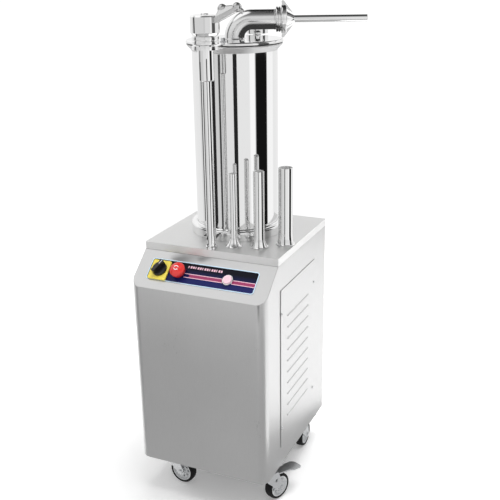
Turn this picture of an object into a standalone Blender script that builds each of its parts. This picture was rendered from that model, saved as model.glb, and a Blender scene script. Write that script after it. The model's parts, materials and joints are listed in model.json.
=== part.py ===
"""Hydraulic sausage stuffer on castors, built as separate parts.

Metres, +Z up, z = 0 on the floor. The control side faces -Y and the filling horn points
to +X. Sizes are given from the cabinet's middle; the empty "machine" then moves everything
so that the middle of the whole machine's box stands over the origin.
"""
import math

import bmesh
import bpy
from mathutils import Euler, Matrix, Vector

GAP = 0.0003                    # clearance between neighbouring pieces

# Cabinet
CABINET_WIDTH = 0.380
CABINET_FRONT = -0.270          # y of the front face
CABINET_BOTTOM = 0.104
FRONT_CORNER_RADIUS = 0.025
SHEET = 0.0015                  # sheet metal thickness
TOP_DEPTH = 0.3635
TOP_Z = 0.7104
TOP_THICKNESS = 0.003
LIP_HEIGHT = 0.020
SLOPE_FOOT_Z = 0.6174           # where the control face meets the front face
BASE_THICKNESS = 0.003
ACCESS_Y = (-0.168, 0.088)
ACCESS_Z = (0.160, 0.620)
ACCESS_OVERLAP = 0.014          # how far the panel covers the edge of its opening
LOUVRE_COUNT = 10
LOUVRE_Y = (-0.121, 0.035)
LOUVRE_TOP_Z = 0.537
LOUVRE_PITCH = 0.033
LOUVRE_HEIGHT = 0.003

# Filling cylinder and lid
CYLINDER_X = -0.010
CYLINDER_Y = 0.0174
CYLINDER_RADIUS = 0.1112
CYLINDER_WALL = 0.003
FLARE_START_Z = 1.1946
RIM_RADIUS = 0.1241
RIM_Z = 1.2104
COLLAR_RADIUS = 0.1276
COLLAR_HEIGHT = 0.0288
LID_RADIUS = 0.126
LID_TOP_Z = 1.2204
SEAL_GROOVE = (0.1185, 0.1245)
SEAL_GROOVE_DEPTH = 0.004
OUTLET_BORE = 0.0225

# Piston and hydraulic ram
PISTON_RADIUS = 0.1072
PISTON_HEIGHT = 0.035
PISTON_BOTTOM_Z = 0.7124
PISTON_GROOVE_Z = (0.010, 0.020)
PISTON_GROOVE_RADIUS = 0.101
ROD_RADIUS = 0.0225
ROD_HEAD_RADIUS = 0.0390
ROD_BOTTOM_Z = 0.212
ROD_HEAD_HEIGHT = 0.020
RAM_RADIUS = 0.045
RAM_BORE = 0.040
RAM_BOTTOM_Z = 0.180
GLAND_BOTTOM_Z = 0.675
GLAND_NECK_RADIUS = 0.0297

# Column, lock head, rear post
COLUMN_X = -0.0008
COLUMN_Y = -0.1673
COLUMN_RADIUS = 0.012
COLUMN_TOP_Z = 1.275
SLEEVE_BOTTOM_Z = 1.1373
SLEEVE_RADIUS = 0.0197
SLEEVE_BORE = 0.0126
BOSS_RADIUS = 0.0325
BOSS_Z = (1.2225, 1.2420)
LOCK_HEAD_Z = (1.2428, 1.2909)
LOCK_HEAD_RADIUS = 0.035
LEVER_AZIMUTH = math.radians(7)
LEVER_ROOT_Z = (1.2730, 1.2860)
LEVER_ROOT_RADII = (0.0356, 0.0410)
REAR_POST_X = -0.010
REAR_POST_Y = 0.166
CLAW_RADIUS = 0.030
CLAW_TOP_Z = 1.246

# Outlet: distances a are measured from the lid's middle along the horn's axis
OUTLET_AZIMUTH = math.radians(23)
OUTLET_Z = 1.2675
ELBOW_RADIUS = 0.0255
ELBOW_BEND = 0.045
ELBOW_END = 0.1225
FERRULE_A = (0.1060, 0.1185)
FERRULE_RADIUS = 0.0315
NUT_A = (0.1200, 0.1335)
NUT_RADIUS = 0.0365
WING_TIP = 0.0462                # just clears the lid as the nut turns
HORN_TIP = 0.339
HORN_RADIUS = 0.009
HORN_WALL = 0.001

# Castors
WHEEL_RADIUS = 0.0375
WHEEL_WIDTH = 0.025
CASTOR_TRAIL = 0.034
CASTOR_PLATE = 0.046
CASTOR_CROWN_Z = (0.0860, 0.0922)
FORK_OUTER = 0.0175             # half width across the fork's cheeks
FORK_INNER = 0.0150
AXLE_RADIUS = 0.004
PEDAL_LENGTH = 0.118            # from the swivel axis to the pedal's tip
PEDAL_HALF_WIDTH = 0.0195
PEDAL_NECK_HALF_WIDTH = 0.0142

# Places that follow from the sizes above
HALF_WIDTH = CABINET_WIDTH / 2
TOP_FRONT = -TOP_DEPTH / 2
TOP_REAR = TOP_DEPTH / 2
LIP_BOTTOM_Z = TOP_Z - LIP_HEIGHT
SLOPE_RUN = TOP_FRONT - CABINET_FRONT
SLOPE_DROP = LIP_BOTTOM_Z - SLOPE_FOOT_Z
SLOPE_ANGLE = math.atan2(SLOPE_DROP, SLOPE_RUN)
HORN_TIP_X = CYLINDER_X + HORN_TIP * math.cos(OUTLET_AZIMUTH) + HORN_RADIUS * math.sin(OUTLET_AZIMUTH)
MACHINE_REAR = REAR_POST_Y + CLAW_RADIUS
MACHINE_SHIFT = Vector(((HALF_WIDTH - HORN_TIP_X) / 2, -(CABINET_FRONT + MACHINE_REAR) / 2, 0))

# Segments round a turned piece
FINE = 40
MEDIUM = 24
SMALL = 16

STEEL = ("brushed_steel", (0.62, 0.62, 0.62), 0.35, 1.0)
POLISHED = ("polished_steel", (0.80, 0.80, 0.80), 0.08, 1.0)
DARK_PAINT = ("dark_paint", (0.05, 0.06, 0.08), 0.50, 0.0)
ZINC = ("zinc", (0.70, 0.71, 0.73), 0.30, 1.0)
BLACK_PLASTIC = ("black_plastic", (0.02, 0.02, 0.02), 0.40, 0.0)
RED_PLASTIC = ("red_plastic", (0.60, 0.03, 0.03), 0.30, 0.0)
YELLOW_PLASTIC = ("yellow_plastic", (0.90, 0.65, 0.05), 0.40, 0.0)
PALE_PLASTIC = ("pale_plastic", (0.85, 0.70, 0.72), 0.35, 0.0)
OVERLAY_FILM = ("overlay_film", (0.02, 0.03, 0.08), 0.35, 0.0)
SEAL_RUBBER = ("seal_rubber", (0.03, 0.03, 0.03), 0.60, 0.0)
WHEEL_PLASTIC = ("wheel_plastic", (0.45, 0.46, 0.47), 0.45, 0.0)
TYRE_RUBBER = ("tyre_rubber", (0.02, 0.02, 0.02), 0.70, 0.0)


# ---------------------------------------------------------------- helpers

def clear_scene():
    for item in list(bpy.data.objects):
        bpy.data.objects.remove(item, do_unlink=True)


def make_material(look):
    name, colour, roughness, metallic = look
    found = bpy.data.materials.get(name)
    if found:
        return found
    result = bpy.data.materials.new(name)
    result.use_nodes = True
    shader = result.node_tree.nodes["Principled BSDF"]
    shader.inputs["Base Color"].default_value = (*colour, 1.0)
    shader.inputs["Roughness"].default_value = roughness
    shader.inputs["Metallic"].default_value = metallic
    return result


def add_empty(name, parent=None, location=(0, 0, 0), rotation=(0, 0, 0)):
    empty = bpy.data.objects.new(name, None)
    bpy.context.collection.objects.link(empty)
    empty.parent = parent
    empty.location = location
    empty.rotation_euler = rotation
    return empty


def add_object(name, bm, look, parent, location=(0, 0, 0), rotation=(0, 0, 0)):
    """Turn a bmesh into a named object under its parent, smooth on its round faces."""
    bmesh.ops.remove_doubles(bm, verts=bm.verts[:], dist=1e-6)
    bmesh.ops.recalc_face_normals(bm, faces=bm.faces[:])
    mesh = bpy.data.meshes.new(name)
    bm.to_mesh(mesh)
    bm.free()
    mesh.shade_smooth()
    mesh.set_sharp_from_angle(angle=math.radians(35))
    obj = bpy.data.objects.new(name, mesh)
    bpy.context.collection.objects.link(obj)
    obj.parent = parent
    obj.location = location
    obj.rotation_euler = rotation
    if look:
        mesh.materials.append(make_material(look))
    return obj


def combine(target, operation, bm, location=(0, 0, 0), rotation=(0, 0, 0)):
    """Cut a hidden tool solid from the target, or unite the two."""
    tool = add_object("tool_" + target.name, bm, None, target.parent)
    tool.location = target.location
    tool.rotation_euler = target.rotation_euler
    tool.data.transform(Matrix.LocRotScale(Vector(location), Euler(rotation), None))
    tool.hide_render = True
    tool.display_type = "WIRE"
    modifier = target.modifiers.new(operation.lower(), "BOOLEAN")
    modifier.operation = operation
    modifier.object = tool


def turned(profile, segments):
    """Spin a closed outline of (radius, z) points about Z; points at radius 0 lie on the axis."""
    bm = bmesh.new()
    verts = [bm.verts.new((radius, 0, z)) for radius, z in profile]
    closed = profile[0][0] > 0 or profile[-1][0] > 0
    pairs = list(zip(verts, verts[1:]))
    if closed:
        pairs.append((verts[-1], verts[0]))
    edges = [bm.edges.new(pair) for pair in pairs]
    bmesh.ops.spin(bm, geom=verts + edges, cent=(0, 0, 0), axis=(0, 0, 1), angle=2 * math.pi,
                   steps=segments, use_merge=True, use_duplicate=False)
    bmesh.ops.remove_doubles(bm, verts=bm.verts[:], dist=1e-6)
    bmesh.ops.dissolve_degenerate(bm, edges=bm.edges[:], dist=1e-7)
    return bm


def prism(outline, low, high):
    """Extrude a closed outline of (x, y) points from one height to another."""
    bm = bmesh.new()
    face = bm.faces.new([bm.verts.new((x, y, low)) for x, y in outline])
    grown = bmesh.ops.extrude_face_region(bm, geom=[face])
    moved = [item for item in grown["geom"] if isinstance(item, bmesh.types.BMVert)]
    bmesh.ops.translate(bm, verts=moved, vec=(0, 0, high - low))
    return bm


def box(low, high):
    return prism([(low[0], low[1]), (high[0], low[1]), (high[0], high[1]), (low[0], high[1])],
                 low[2], high[2])


def arc(centre, radius, start, end, steps):
    """Points along an arc, with both ends; angles in degrees."""
    angles = [math.radians(start + (end - start) * step / steps) for step in range(steps + 1)]
    return [(centre[0] + radius * math.cos(angle), centre[1] + radius * math.sin(angle))
            for angle in angles]


def rounded_rectangle(low, high, radius, steps=4):
    corners = [((high[0] - radius, high[1] - radius), 0), ((low[0] + radius, high[1] - radius), 90),
               ((low[0] + radius, low[1] + radius), 180), ((high[0] - radius, low[1] + radius), 270)]
    outline = []
    for centre, start in corners:
        outline += arc(centre, radius, start, start + 90, steps)
    return outline


def ball_points(centre, radius):
    ball = bmesh.new()
    bmesh.ops.create_icosphere(ball, subdivisions=2, radius=radius, matrix=Matrix.Translation(centre))
    points = [vert.co.copy() for vert in ball.verts]
    ball.free()
    return points


def hull(points):
    """The convex solid round a set of points."""
    bm = bmesh.new()
    verts = [bm.verts.new(point) for point in points]
    result = bmesh.ops.convex_hull(bm, input=verts)
    inside = [item for item in result["geom_interior"] if isinstance(item, bmesh.types.BMVert)]
    bmesh.ops.delete(bm, geom=inside, context="VERTS")
    return bm


def sheet_ring(stations, segments):
    """Skin a tube wall through rings of (centre, direction, radius) that close on themselves."""
    bm = bmesh.new()
    rings = []
    for centre, direction, radius in stations:
        side = Vector((0, 1, 0))
        up = direction.cross(side)
        turn = [2 * math.pi * step / segments for step in range(segments)]
        rings.append([bm.verts.new(centre + radius * (math.cos(t) * side + math.sin(t) * up))
                      for t in turn])
    for ring, following in zip(rings, rings[1:] + rings[:1]):
        for step in range(segments):
            after = (step + 1) % segments
            bm.faces.new((ring[step], ring[after], following[after], following[step]))
    return bm


# ---------------------------------------------------------------- cabinet

def cabinet_prism(inset, low, high, rear):
    """The cabinet's plan raised to a solid, with its front top edge cut to the control slope."""
    front = CABINET_FRONT + inset
    half = HALF_WIDTH - inset
    radius = FRONT_CORNER_RADIUS - inset
    outline = [(half, rear), (-half, rear)]
    outline += arc((-half + radius, front + radius), radius, 180, 270, 6)
    outline += arc((half - radius, front + radius), radius, 270, 360, 6)
    bm = prism(outline, low, high)
    normal = Vector((0, -math.sin(SLOPE_ANGLE), math.cos(SLOPE_ANGLE)))
    point = Vector((0, TOP_FRONT, LIP_BOTTOM_Z)) - inset * normal
    cut = bmesh.ops.bisect_plane(bm, geom=bm.verts[:] + bm.edges[:] + bm.faces[:], dist=1e-7,
                                 plane_co=point, plane_no=normal, clear_outer=True)
    edges = [item for item in cut["geom_cut"] if isinstance(item, bmesh.types.BMEdge)]
    bmesh.ops.edgeloop_fill(bm, edges=edges)
    return bm


def build_cabinet(machine):
    rear = TOP_REAR - 2 * SHEET - 2 * GAP
    shell = add_object("cabinet_shell", cabinet_prism(0, CABINET_BOTTOM, LIP_BOTTOM_Z - GAP, rear),
                       STEEL, machine)
    combine(shell, "DIFFERENCE", cabinet_prism(SHEET, CABINET_BOTTOM - 0.02, TOP_Z, rear + 0.02))
    opening_low = (HALF_WIDTH - 0.01, ACCESS_Y[0] + ACCESS_OVERLAP, ACCESS_Z[0] + ACCESS_OVERLAP)
    opening_high = (HALF_WIDTH + 0.01, ACCESS_Y[1] - ACCESS_OVERLAP, ACCESS_Z[1] - ACCESS_OVERLAP)
    combine(shell, "DIFFERENCE", box(opening_low, opening_high))

    plate = box((-HALF_WIDTH, TOP_FRONT, LIP_BOTTOM_Z), (HALF_WIDTH, TOP_REAR, TOP_Z))
    top = add_object("top_plate", plate, STEEL, machine)
    combine(top, "DIFFERENCE", box((-HALF_WIDTH + SHEET, TOP_FRONT + SHEET, LIP_BOTTOM_Z - 0.02),
                                   (HALF_WIDTH - SHEET, TOP_REAR - SHEET, TOP_Z - TOP_THICKNESS)))
    hole = turned([(0, TOP_Z + 0.01), (GLAND_NECK_RADIUS + GAP, TOP_Z + 0.01),
                   (GLAND_NECK_RADIUS + GAP, TOP_Z - 0.01), (0, TOP_Z - 0.01)], MEDIUM)
    combine(top, "DIFFERENCE", hole, (CYLINDER_X, CYLINDER_Y, 0))

    low = (-HALF_WIDTH + GAP, rear + GAP, CABINET_BOTTOM)
    high = (HALF_WIDTH - GAP, rear + GAP + SHEET, LIP_BOTTOM_Z - GAP)
    add_object("rear_panel", box(low, high), STEEL, machine)

    low = (HALF_WIDTH + GAP, ACCESS_Y[0], ACCESS_Z[0])
    high = (HALF_WIDTH + GAP + SHEET, ACCESS_Y[1], ACCESS_Z[1])
    panel = add_object("access_panel", box(low, high), STEEL, machine)
    for number in range(LOUVRE_COUNT):
        z = LOUVRE_TOP_Z - number * LOUVRE_PITCH
        combine(panel, "DIFFERENCE", box((HALF_WIDTH - 0.005, LOUVRE_Y[0], z - LOUVRE_HEIGHT),
                                         (HALF_WIDTH + 0.005, LOUVRE_Y[1], z)))

    inset = SHEET + GAP
    front = CABINET_FRONT + inset
    radius = FRONT_CORNER_RADIUS - inset
    half = HALF_WIDTH - inset
    outline = [(half, rear - GAP), (-half, rear - GAP)]
    outline += arc((-half + radius, front + radius), radius, 180, 270, 4)
    outline += arc((half - radius, front + radius), radius, 270, 360, 4)
    plate = prism(outline, CABINET_BOTTOM, CABINET_BOTTOM + BASE_THICKNESS)
    add_object("base_plate", plate, STEEL, machine)


# ---------------------------------------------------------------- controls

def build_controls(machine):
    """Controls sit on the slope: in its frame x runs along it, y up it and z out of it."""
    slope = add_empty("control_slope", machine, (0, TOP_FRONT, LIP_BOTTOM_Z), (SLOPE_ANGLE, 0, 0))
    overlay_top = GAP + 0.0006
    on_overlay = overlay_top + GAP
    add_object("control_overlay", prism(rounded_rectangle((-0.155, -0.088), (0.150, -0.024), 0.008),
                                        GAP, overlay_top), OVERLAY_FILM, slope)

    plate_top = on_overlay + 0.005
    add_object("switch_plate", prism(rounded_rectangle((-0.148, -0.0875), (-0.096, -0.031), 0.004, 2),
                                     on_overlay, plate_top), YELLOW_PLASTIC, slope)
    knob = add_object("switch_knob", turned([(0, 0.006), (0.0195, 0.006), (0.0205, 0), (0, 0)], MEDIUM),
                      BLACK_PLASTIC, slope, (-0.122, -0.058, plate_top + GAP))
    combine(knob, "UNION", box((-0.0055, -0.0185, 0.003), (0.0055, 0.0185, 0.020)))

    collar = [(0.0165, 0), (0.0165, 0.010), (0.0112, 0.010), (0.0112, 0)]
    add_object("stop_collar", turned(collar, MEDIUM), RED_PLASTIC, slope, (-0.067, -0.057, on_overlay))
    mushroom = [(0, 0.0255), (0.008, 0.0247), (0.015, 0.0225), (0.0200, 0.0190), (0.0205, 0.0165),
                (0.0195, 0.0080), (0.0175, 0.0080), (0.0175, 0.0165), (0.0105, 0.0165), (0.0105, 0.0060),
                (0, 0.0060)]
    add_object("stop_button", turned(mushroom, MEDIUM), RED_PLASTIC, slope, (-0.067, -0.057, on_overlay))

    bezel = [(0.0150, 0), (0.0150, 0.004), (0.0140, 0.005), (0.0124, 0.005), (0.0124, 0)]
    add_object("start_bezel", turned(bezel, MEDIUM), ZINC, slope, (0.0726, -0.0597, on_overlay))
    button = [(0, 0.0080), (0.0110, 0.0080), (0.0120, 0.0070), (0.0120, 0.0035), (0, 0.0035)]
    add_object("start_button", turned(button, MEDIUM), PALE_PLASTIC, slope, (0.0726, -0.0597, on_overlay))


# ---------------------------------------------------------------- cylinder and drive

def build_cylinder(machine):
    axis = (CYLINDER_X, CYLINDER_Y, 0)
    inner = CYLINDER_RADIUS - CYLINDER_WALL
    floor_z = TOP_Z + GAP
    barrel = [(CYLINDER_RADIUS, floor_z), (CYLINDER_RADIUS, FLARE_START_Z), (RIM_RADIUS, RIM_Z - 0.003),
              (RIM_RADIUS, RIM_Z), (RIM_RADIUS - CYLINDER_WALL, RIM_Z), (inner, FLARE_START_Z),
              (inner, floor_z)]
    add_object("filling_cylinder", turned(barrel, FINE), POLISHED, machine, axis)
    bore = CYLINDER_RADIUS + GAP
    collar = [(COLLAR_RADIUS, floor_z), (COLLAR_RADIUS, floor_z + COLLAR_HEIGHT - 0.004),
              (COLLAR_RADIUS - 0.004, floor_z + COLLAR_HEIGHT), (bore, floor_z + COLLAR_HEIGHT),
              (bore, floor_z)]
    add_object("base_collar", turned(collar, FINE), POLISHED, machine, axis)


def build_piston(machine):
    axis = (CYLINDER_X, CYLINDER_Y, 0)
    bottom = PISTON_BOTTOM_Z
    top = bottom + PISTON_HEIGHT
    groove = (bottom + PISTON_GROOVE_Z[0], bottom + PISTON_GROOVE_Z[1])
    piston = [(0, top), (PISTON_RADIUS, top), (PISTON_RADIUS, groove[1]), (PISTON_GROOVE_RADIUS, groove[1]),
              (PISTON_GROOVE_RADIUS, groove[0]), (PISTON_RADIUS, groove[0]), (PISTON_RADIUS, bottom),
              (0, bottom)]
    add_object("piston", turned(piston, FINE), STEEL, machine, axis)
    seal_outer = CYLINDER_RADIUS - CYLINDER_WALL - GAP
    seal = [(seal_outer, groove[0] + GAP), (seal_outer, groove[1] - GAP),
            (PISTON_GROOVE_RADIUS + GAP, groove[1] - GAP), (PISTON_GROOVE_RADIUS + GAP, groove[0] + GAP)]
    add_object("piston_seal", turned(seal, FINE), SEAL_RUBBER, machine, axis)
    rod_top = bottom - GAP
    rod = [(0, rod_top), (ROD_RADIUS, rod_top), (ROD_RADIUS, ROD_BOTTOM_Z + ROD_HEAD_HEIGHT),
           (ROD_HEAD_RADIUS, ROD_BOTTOM_Z + ROD_HEAD_HEIGHT), (ROD_HEAD_RADIUS, ROD_BOTTOM_Z),
           (0, ROD_BOTTOM_Z)]
    add_object("piston_rod", turned(rod, MEDIUM), ZINC, machine, axis)


def build_hydraulics(machine):
    axis = (CYLINDER_X, CYLINDER_Y, 0)
    plate_under = TOP_Z - TOP_THICKNESS - GAP
    barrel = [(0, RAM_BOTTOM_Z), (RAM_RADIUS, RAM_BOTTOM_Z), (RAM_RADIUS, plate_under),
              (RAM_BORE, plate_under), (RAM_BORE, RAM_BOTTOM_Z + 0.010), (0, RAM_BOTTOM_Z + 0.010)]
    ram = add_object("ram_barrel", turned(barrel, MEDIUM), DARK_PAINT, machine, axis)
    port_z = RAM_BOTTOM_Z + 0.020
    port = turned([(0, 0.060), (0.006, 0.060), (0.006, 0.030), (0, 0.030)], 8)
    combine(ram, "DIFFERENCE", port, (0, 0, port_z), (0, math.pi / 2, 0))

    gland = [(RAM_BORE - GAP, GLAND_BOTTOM_Z), (RAM_BORE - GAP, plate_under),
             (GLAND_NECK_RADIUS, plate_under),
             (GLAND_NECK_RADIUS, TOP_Z), (ROD_RADIUS + 0.0006, TOP_Z), (ROD_RADIUS + 0.0006, GLAND_BOTTOM_Z)]
    add_object("ram_gland", turned(gland, MEDIUM), ZINC, machine, axis)

    floor_z = CABINET_BOTTOM + BASE_THICKNESS + GAP
    tank_low = Vector((-0.176, -0.150, floor_z))
    tank_high = Vector((-0.070, 0.150, floor_z + 0.280))
    wall = Vector((0.002, 0.002, 0.002))
    tank = add_object("oil_tank", box(tank_low, tank_high), DARK_PAINT, machine)
    combine(tank, "DIFFERENCE", box(tank_low + wall, tank_high - wall))
    filler = turned([(0, 0.02), (0.018, 0.02), (0.018, -0.02), (0, -0.02)], SMALL)
    combine(tank, "DIFFERENCE", filler, (-0.123, 0.110, tank_high.z))

    motor_x = 0.118
    motor_y = 0.095
    motor_height = 0.190
    motor = [(0, motor_height), (0.045, motor_height), (0.055, motor_height - 0.015), (0.055, 0.008),
             (0.062, 0.008), (0.062, 0), (0, 0)]
    add_object("motor", turned(motor, MEDIUM), DARK_PAINT, machine, (motor_x, motor_y, floor_z))
    pump_z = floor_z + motor_height + GAP
    add_object("pump", prism(rounded_rectangle((-0.035, -0.045), (0.035, 0.045), 0.012, 3), 0, 0.075), ZINC,
               machine, (motor_x, motor_y, pump_z))

    hose_start = Vector((motor_x, motor_y - 0.045 - GAP, pump_z + 0.040))
    hose_end = Vector((CYLINDER_X + RAM_RADIUS + GAP, CYLINDER_Y, port_z))
    add_hose("pressure_hose", machine, hose_start, Vector((0, -0.16, 0)), hose_end, Vector((0.14, 0, 0)))


def add_hose(name, parent, start, leave, end, arrive, radius=0.006, count=25):
    """A hose along one smooth curve that leaves and arrives square to its fittings."""
    curve = bpy.data.curves.new(name, "CURVE")
    curve.dimensions = "3D"
    curve.bevel_depth = radius
    curve.bevel_resolution = 2
    curve.use_fill_caps = True
    spline = curve.splines.new("POLY")
    spline.points.add(count - 1)
    handles = (start, start + leave, end + arrive, end)
    for number, point in enumerate(spline.points):
        t = number / (count - 1)
        weights = ((1 - t) ** 3, 3 * t * (1 - t) ** 2, 3 * t * t * (1 - t), t ** 3)
        place = sum((weight * handle for weight, handle in zip(weights, handles)), Vector())
        point.co = (*place, 1)
    curve.materials.append(make_material(BLACK_PLASTIC))
    hose = bpy.data.objects.new(name, curve)
    bpy.context.collection.objects.link(hose)
    hose.parent = parent


# ---------------------------------------------------------------- lid, column and lock

def build_column(machine):
    foot_z = TOP_Z + GAP
    column = [(0, COLUMN_TOP_Z), (COLUMN_RADIUS, COLUMN_TOP_Z), (COLUMN_RADIUS, foot_z), (0, foot_z)]
    add_object("column", turned(column, MEDIUM), POLISHED, machine, (COLUMN_X, COLUMN_Y, 0))
    rear_top = LID_TOP_Z + 0.001
    post = [(0, rear_top), (COLUMN_RADIUS, rear_top), (COLUMN_RADIUS, foot_z), (0, foot_z)]
    add_object("rear_post", turned(post, MEDIUM), POLISHED, machine, (REAR_POST_X, REAR_POST_Y, 0))
    claw_z = rear_top + GAP
    claw = [(0, CLAW_TOP_Z), (CLAW_RADIUS - 0.006, CLAW_TOP_Z), (CLAW_RADIUS, CLAW_TOP_Z - 0.006),
            (CLAW_RADIUS, claw_z), (0, claw_z)]
    add_object("rear_claw", turned(claw, MEDIUM), POLISHED, machine, (REAR_POST_X, REAR_POST_Y, 0))


def build_lock(machine):
    """The lock head screws onto the column's top; its lever is cast with two rounded lobes."""
    lock = add_empty("lock_axis", machine, (COLUMN_X, COLUMN_Y, 0), (0, 0, LEVER_AZIMUTH))
    low, high = LOCK_HEAD_Z
    radius = LOCK_HEAD_RADIUS
    bore = COLUMN_RADIUS + 0.0006
    ceiling = COLUMN_TOP_Z + 0.002
    head = [(0, high + 0.003), (0.010, high + 0.003), (0.011, high), (radius - 0.003, high),
            (radius, high - 0.004), (radius, low + 0.006), (radius - 0.005, low), (bore, low),
            (bore, ceiling), (0, ceiling)]
    add_object("lock_head", turned(head, MEDIUM), POLISHED, lock)

    lobes = [(Vector((0.0440, 0, 1.3040)), 0.0115), (Vector((0.0800, 0, 1.3075)), 0.0115)]
    tip = (Vector((0.0920, 0, 1.2985)), 0.0060)
    near, far = LEVER_ROOT_RADII
    bar = []
    stub = []
    for angle in (math.radians(-36), math.radians(-22)):
        for z in LEVER_ROOT_Z:
            stub.append(Vector((near * math.cos(angle), near * math.sin(angle), z)))
            bar.append(Vector((far * math.cos(angle), far * math.sin(angle), z)))
    stub += bar
    for centre, size in lobes:
        bar += ball_points(centre - Vector((0, 0, 0.002)), size - 0.003)
    lever = add_object("lock_lever", hull(bar), POLISHED, lock)
    combine(lever, "UNION", hull(stub))
    for centre, size in lobes:
        combine(lever, "UNION", hull(ball_points(centre, size)))
    combine(lever, "UNION", hull(ball_points(*tip) + ball_points(lobes[1][0], tip[1])))


def build_lid(machine):
    axis = (CYLINDER_X, CYLINDER_Y, 0)
    bottom = RIM_Z + GAP
    groove_top = bottom + SEAL_GROOVE_DEPTH
    profile = [(LID_RADIUS - 0.003, LID_TOP_Z), (LID_RADIUS, LID_TOP_Z - 0.003), (LID_RADIUS, bottom),
               (OUTLET_BORE, bottom), (OUTLET_BORE, LID_TOP_Z)]
    lid = add_object("lid", turned(profile, FINE), POLISHED, machine, axis)
    reach = (COLUMN_Y - CYLINDER_Y, COLUMN_X - CYLINDER_X)
    ear = arc((reach[1], reach[0]), BOSS_RADIUS, 180, 360, 8)
    ear += [(0.040, -LID_RADIUS + 0.018), (-0.040, -LID_RADIUS + 0.018)]
    combine(lid, "UNION", prism(ear, bottom + 0.0005, LID_TOP_Z - 0.0005))
    groove = [(SEAL_GROOVE[1], bottom - 0.01), (SEAL_GROOVE[1], groove_top), (SEAL_GROOVE[0], groove_top),
              (SEAL_GROOVE[0], bottom - 0.01)]
    combine(lid, "DIFFERENCE", turned(groove, FINE))
    hole = turned([(0, 1.3), (SLEEVE_RADIUS + GAP, 1.3), (SLEEVE_RADIUS + GAP, 1.2), (0, 1.2)], MEDIUM)
    combine(lid, "DIFFERENCE", hole, (reach[1], reach[0], 0))

    seal = [(SEAL_GROOVE[1] - GAP, bottom), (SEAL_GROOVE[1] - GAP, groove_top - GAP),
            (SEAL_GROOVE[0] + GAP, groove_top - GAP), (SEAL_GROOVE[0] + GAP, bottom)]
    add_object("lid_seal", turned(seal, FINE), SEAL_RUBBER, machine, axis)

    sleeve = [(SLEEVE_RADIUS - 0.002, SLEEVE_BOTTOM_Z), (SLEEVE_RADIUS, SLEEVE_BOTTOM_Z + 0.002),
              (SLEEVE_RADIUS, BOSS_Z[0]), (BOSS_RADIUS, BOSS_Z[0] + 0.001), (BOSS_RADIUS, BOSS_Z[1]),
              (SLEEVE_BORE, BOSS_Z[1]), (SLEEVE_BORE, SLEEVE_BOTTOM_Z)]
    add_object("lid_sleeve", turned(sleeve, MEDIUM), POLISHED, machine, (COLUMN_X, COLUMN_Y, 0))

    screw = [(0, 0.010), (0.0052, 0.010), (0.0066, 0.0085), (0.0066, 0), (0, 0)]
    add_object("bleed_screw", turned(screw, 6), ZINC, machine, (0.000, -0.072, LID_TOP_Z + GAP))


# ---------------------------------------------------------------- outlet and horns

def elbow_stations():
    """Rings of the elbow's wall: up the outside from foot to end, then back down its bore."""
    bend_centre = Vector((ELBOW_BEND, 0, -ELBOW_BEND))
    foot_z = LID_TOP_Z + GAP - OUTLET_Z
    path = [(Vector((0, 0, foot_z)), Vector((0, 0, 1)))]
    steps = 9
    for step in range(steps + 1):
        angle = math.pi / 2 * step / steps
        offset = Vector((-math.cos(angle), 0, math.sin(angle))) * ELBOW_BEND
        path.append((bend_centre + offset, Vector((math.sin(angle), 0, math.cos(angle)))))
    forward = Vector((1, 0, 0))
    ends = [(FERRULE_A[0], ELBOW_RADIUS), (FERRULE_A[0], FERRULE_RADIUS), (FERRULE_A[1], FERRULE_RADIUS),
            (FERRULE_A[1], 0.0285), (ELBOW_END, 0.0285)]
    outside = [(centre, direction, ELBOW_RADIUS) for centre, direction in path]
    outside += [(Vector((a, 0, 0)), forward, radius) for a, radius in ends]
    inside = [(Vector((ELBOW_END, 0, 0)), forward, OUTLET_BORE)]
    inside += [(centre, direction, OUTLET_BORE) for centre, direction in reversed(path)]
    return outside + inside


def horn_profile(flange_radius, flange_height, cone_radius, tube_radius, cone_start, cone_end, length, wall):
    """A filling horn standing on its flange: flange, short cone and straight tube."""
    neck = cone_radius - wall
    return [(flange_radius, 0), (flange_radius, flange_height), (cone_radius, flange_height),
            (cone_radius, cone_start), (tube_radius, cone_end), (tube_radius, length),
            (tube_radius - wall, length), (tube_radius - wall, cone_end), (neck, cone_start), (neck, 0)]


def build_outlet(machine):
    """Everything here lies along the horn's axis: local +X is the way the filling leaves."""
    outlet = add_empty("outlet_axis", machine, (CYLINDER_X, CYLINDER_Y, OUTLET_Z), (0, 0, OUTLET_AZIMUTH))
    add_object("elbow", sheet_ring(elbow_stations(), MEDIUM), POLISHED, outlet)

    along = (0, math.pi / 2, 0)
    start = ELBOW_END + GAP
    profile = horn_profile(0.0286, 0.0034, 0.0195, HORN_RADIUS, 0.0120, 0.0305, HORN_TIP - start, HORN_WALL)
    add_object("fitted_horn", turned(profile, SMALL), POLISHED, outlet, (start, 0, 0), along)

    nut_depth = NUT_A[1] - NUT_A[0]
    seat = start + 0.0034 + GAP - NUT_A[0]
    nut = [(NUT_RADIUS - 0.002, 0), (NUT_RADIUS, 0.002), (NUT_RADIUS, nut_depth - 0.002),
           (NUT_RADIUS - 0.002, nut_depth), (0.0205, nut_depth), (0.0205, seat), (0.0300, seat), (0.0300, 0)]
    nut_object = add_object("union_nut", turned(nut, MEDIUM), POLISHED, outlet, (NUT_A[0], 0, 0), along)
    half_thickness = 0.0035
    wing = [(0.034, 0.002), (WING_TIP, 0.001), (WING_TIP, 0.0065), (0.0150, 0.0300),
            (0.0260, nut_depth - 0.001)]
    for side in (1, -1):
        outline = [(side * radius, z) for radius, z in wing]
        web = prism(outline, -half_thickness, half_thickness)
        combine(nut_object, "UNION", web, (0, 0, 0), (math.pi / 2, 0, 0))


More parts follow.
